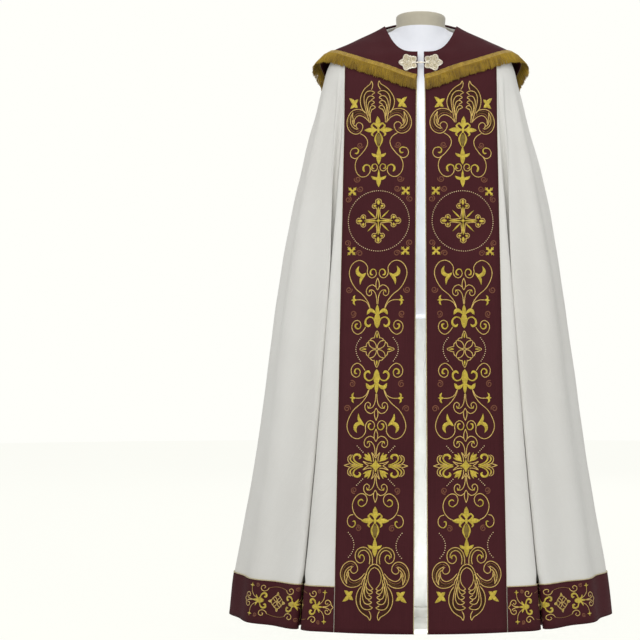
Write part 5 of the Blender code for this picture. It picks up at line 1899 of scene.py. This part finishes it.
FLOOR_RINGS = (1.5, 4.0, 9.0)
FLOOR_SIDES = 64
FLOOR_SINK = 0.0004  # how far the floor lies under the stand's foot, so that the two don't share a face
PAPER_SEEN = (0.94, 0.94, 0.885, 1.0)  # what the paper adds where the camera sees it
PAPER_DIM = (0.50, 0.50, 0.49, 1.0)  # and what it adds to the light on the cope
PAPER_UNDER = (8.2, 8.4, 8.8, 1.0)  # under the cope, where it lights the folds from inside
UNDER_REACH = (0.25, 0.30)  # that light fades out between these distances from the middle
WORLD_SEEN = screen(255, 255, 250)
WORLD_LIGHT = 0.50


def make_floor():
    """A round of pale paper under the stand, as pale as the air round it."""
    turns = np.linspace(0, 2 * math.pi, FLOOR_SIDES + 1)[:-1]
    points = [(0.0, 0.0, -FLOOR_SINK)]
    points += [(r * math.cos(a), r * math.sin(a), -FLOOR_SINK) for r in FLOOR_RINGS for a in turns]
    faces = [[0, 1 + i, 1 + (i + 1) % FLOOR_SIDES] for i in range(FLOOR_SIDES)]
    faces += (grid_faces(len(FLOOR_RINGS), FLOOR_SIDES, closed=True)[:, ::-1] + 1).tolist()
    mesh = mesh_from("paper_floor", points, faces)
    floor = bpy.data.objects.new("paper_floor", mesh)
    bpy.context.scene.collection.objects.link(floor)
    material, graph, shader = new_finish("pale_paper", 0.9, Specular_IOR_Level=0.0, Emission_Strength=1.0)
    place = graph.place()
    tone = graph.noise(place, 0.6, 2.0)
    graph.feed(shader.inputs["Base Color"], graph.mix(tone, screen(68, 69, 67), screen(73, 74, 71)))
    seen = graph.add("ShaderNodeLightPath").outputs["Is Camera Ray"]
    from_middle = graph.add("ShaderNodeVectorMath", operation="LENGTH")
    graph.feed(from_middle.inputs[0], place)
    under = graph.fade(from_middle.outputs["Value"], *UNDER_REACH, 1.0, 0.0)
    added = graph.mix(under, PAPER_DIM, PAPER_UNDER)
    graph.feed(shader.inputs["Emission Color"], graph.mix(seen, added, PAPER_SEEN))
    mesh.materials.append(material)


# Soft boxes: place, what they point at, size across and up, and power in watts. The inner one stands inside
# the cope and lights its back, as far as it shows in the opening.
SOFT_BOXES = {
    "front_box": ((-0.9, -4.4, 3.0), (0.0, 0.0, 0.75), (2.2, 2.2), 88.0),
    "right_box": ((3.4, -2.4, 2.0), (0.0, 0.0, 0.7), (1.6, 2.4), 29.0),
    "left_box": ((-3.6, -1.8, 1.8), (0.0, 0.0, 0.7), (1.6, 2.4), 14.0),
    "back_box": ((0.8, 4.2, 2.8), (0.0, 0.0, 0.8), (2.4, 2.4), 60.0),
    "top_box": ((0.0, 0.4, 4.2), (0.0, 0.0, 0.7), (3.0, 3.0), 26.0),
    "inner_box": ((0.0, -0.15, 0.55), (0.0, 0.3, 0.55), (0.24, 0.36), 0.17),
}
INNER_TINT = (0.90, 0.93, 1.0)


def make_lights():
    for name, (place, target, size, power) in SOFT_BOXES.items():
        data = bpy.data.lights.new(name, "AREA")
        data.shape = "RECTANGLE"
        data.size, data.size_y = size
        data.energy = power
        data.color = INNER_TINT if name == "inner_box" else (1.0, 1.0, 1.0)
        light = bpy.data.objects.new(name, data)
        light.location = place
        towards = Vector(target) - Vector(place)
        light.rotation_euler = towards.to_track_quat("-Z", "Y").to_euler()
        bpy.context.scene.collection.objects.link(light)
    world = bpy.data.worlds.new("studio")
    world.use_nodes = True
    graph = Graph(world.node_tree)
    background = world.node_tree.nodes["Background"]
    seen = graph.add("ShaderNodeLightPath").outputs["Is Camera Ray"]
    graph.feed(background.inputs["Color"], graph.mix(seen, screen(252, 253, 252), WORLD_SEEN))
    graph.feed(background.inputs["Strength"], graph.fade(seen, 0, 1, WORLD_LIGHT, 1.0))
    bpy.context.scene.world = world
    bpy.context.scene.view_settings.view_transform = "Standard"


# ---------------- the whole scene
def main():
    make_camera()
    make_floor()
    make_lights()
    finishes = make_finishes()
    body = make_body(finishes)
    band, band_cloth = make_hem_band(finishes)
    orphreys = [make_orphrey(side, finishes) for side in (-1, 1)]
    piping = make_edge_piping([cloth for _, cloth in orphreys], band_cloth, finishes)
    hood, hood_cloth = make_hood(finishes)
    strands = make_fringe_strands(finishes)
    heading, cords = make_fringe_heading(finishes)
    words = SIDE_WORDS.values()
    threads = [sew_orphrey(cloth, word, finishes) for (_, cloth), word in zip(orphreys, words)]
    threads += [sew_border(band_cloth, finishes), sew_hood(hood_cloth, finishes)]
    finish_clasp(finishes)
    make_torso(finishes)
    for name in ("form_pole", "form_base"):
        refinish(name, finishes["enamel"])


main()
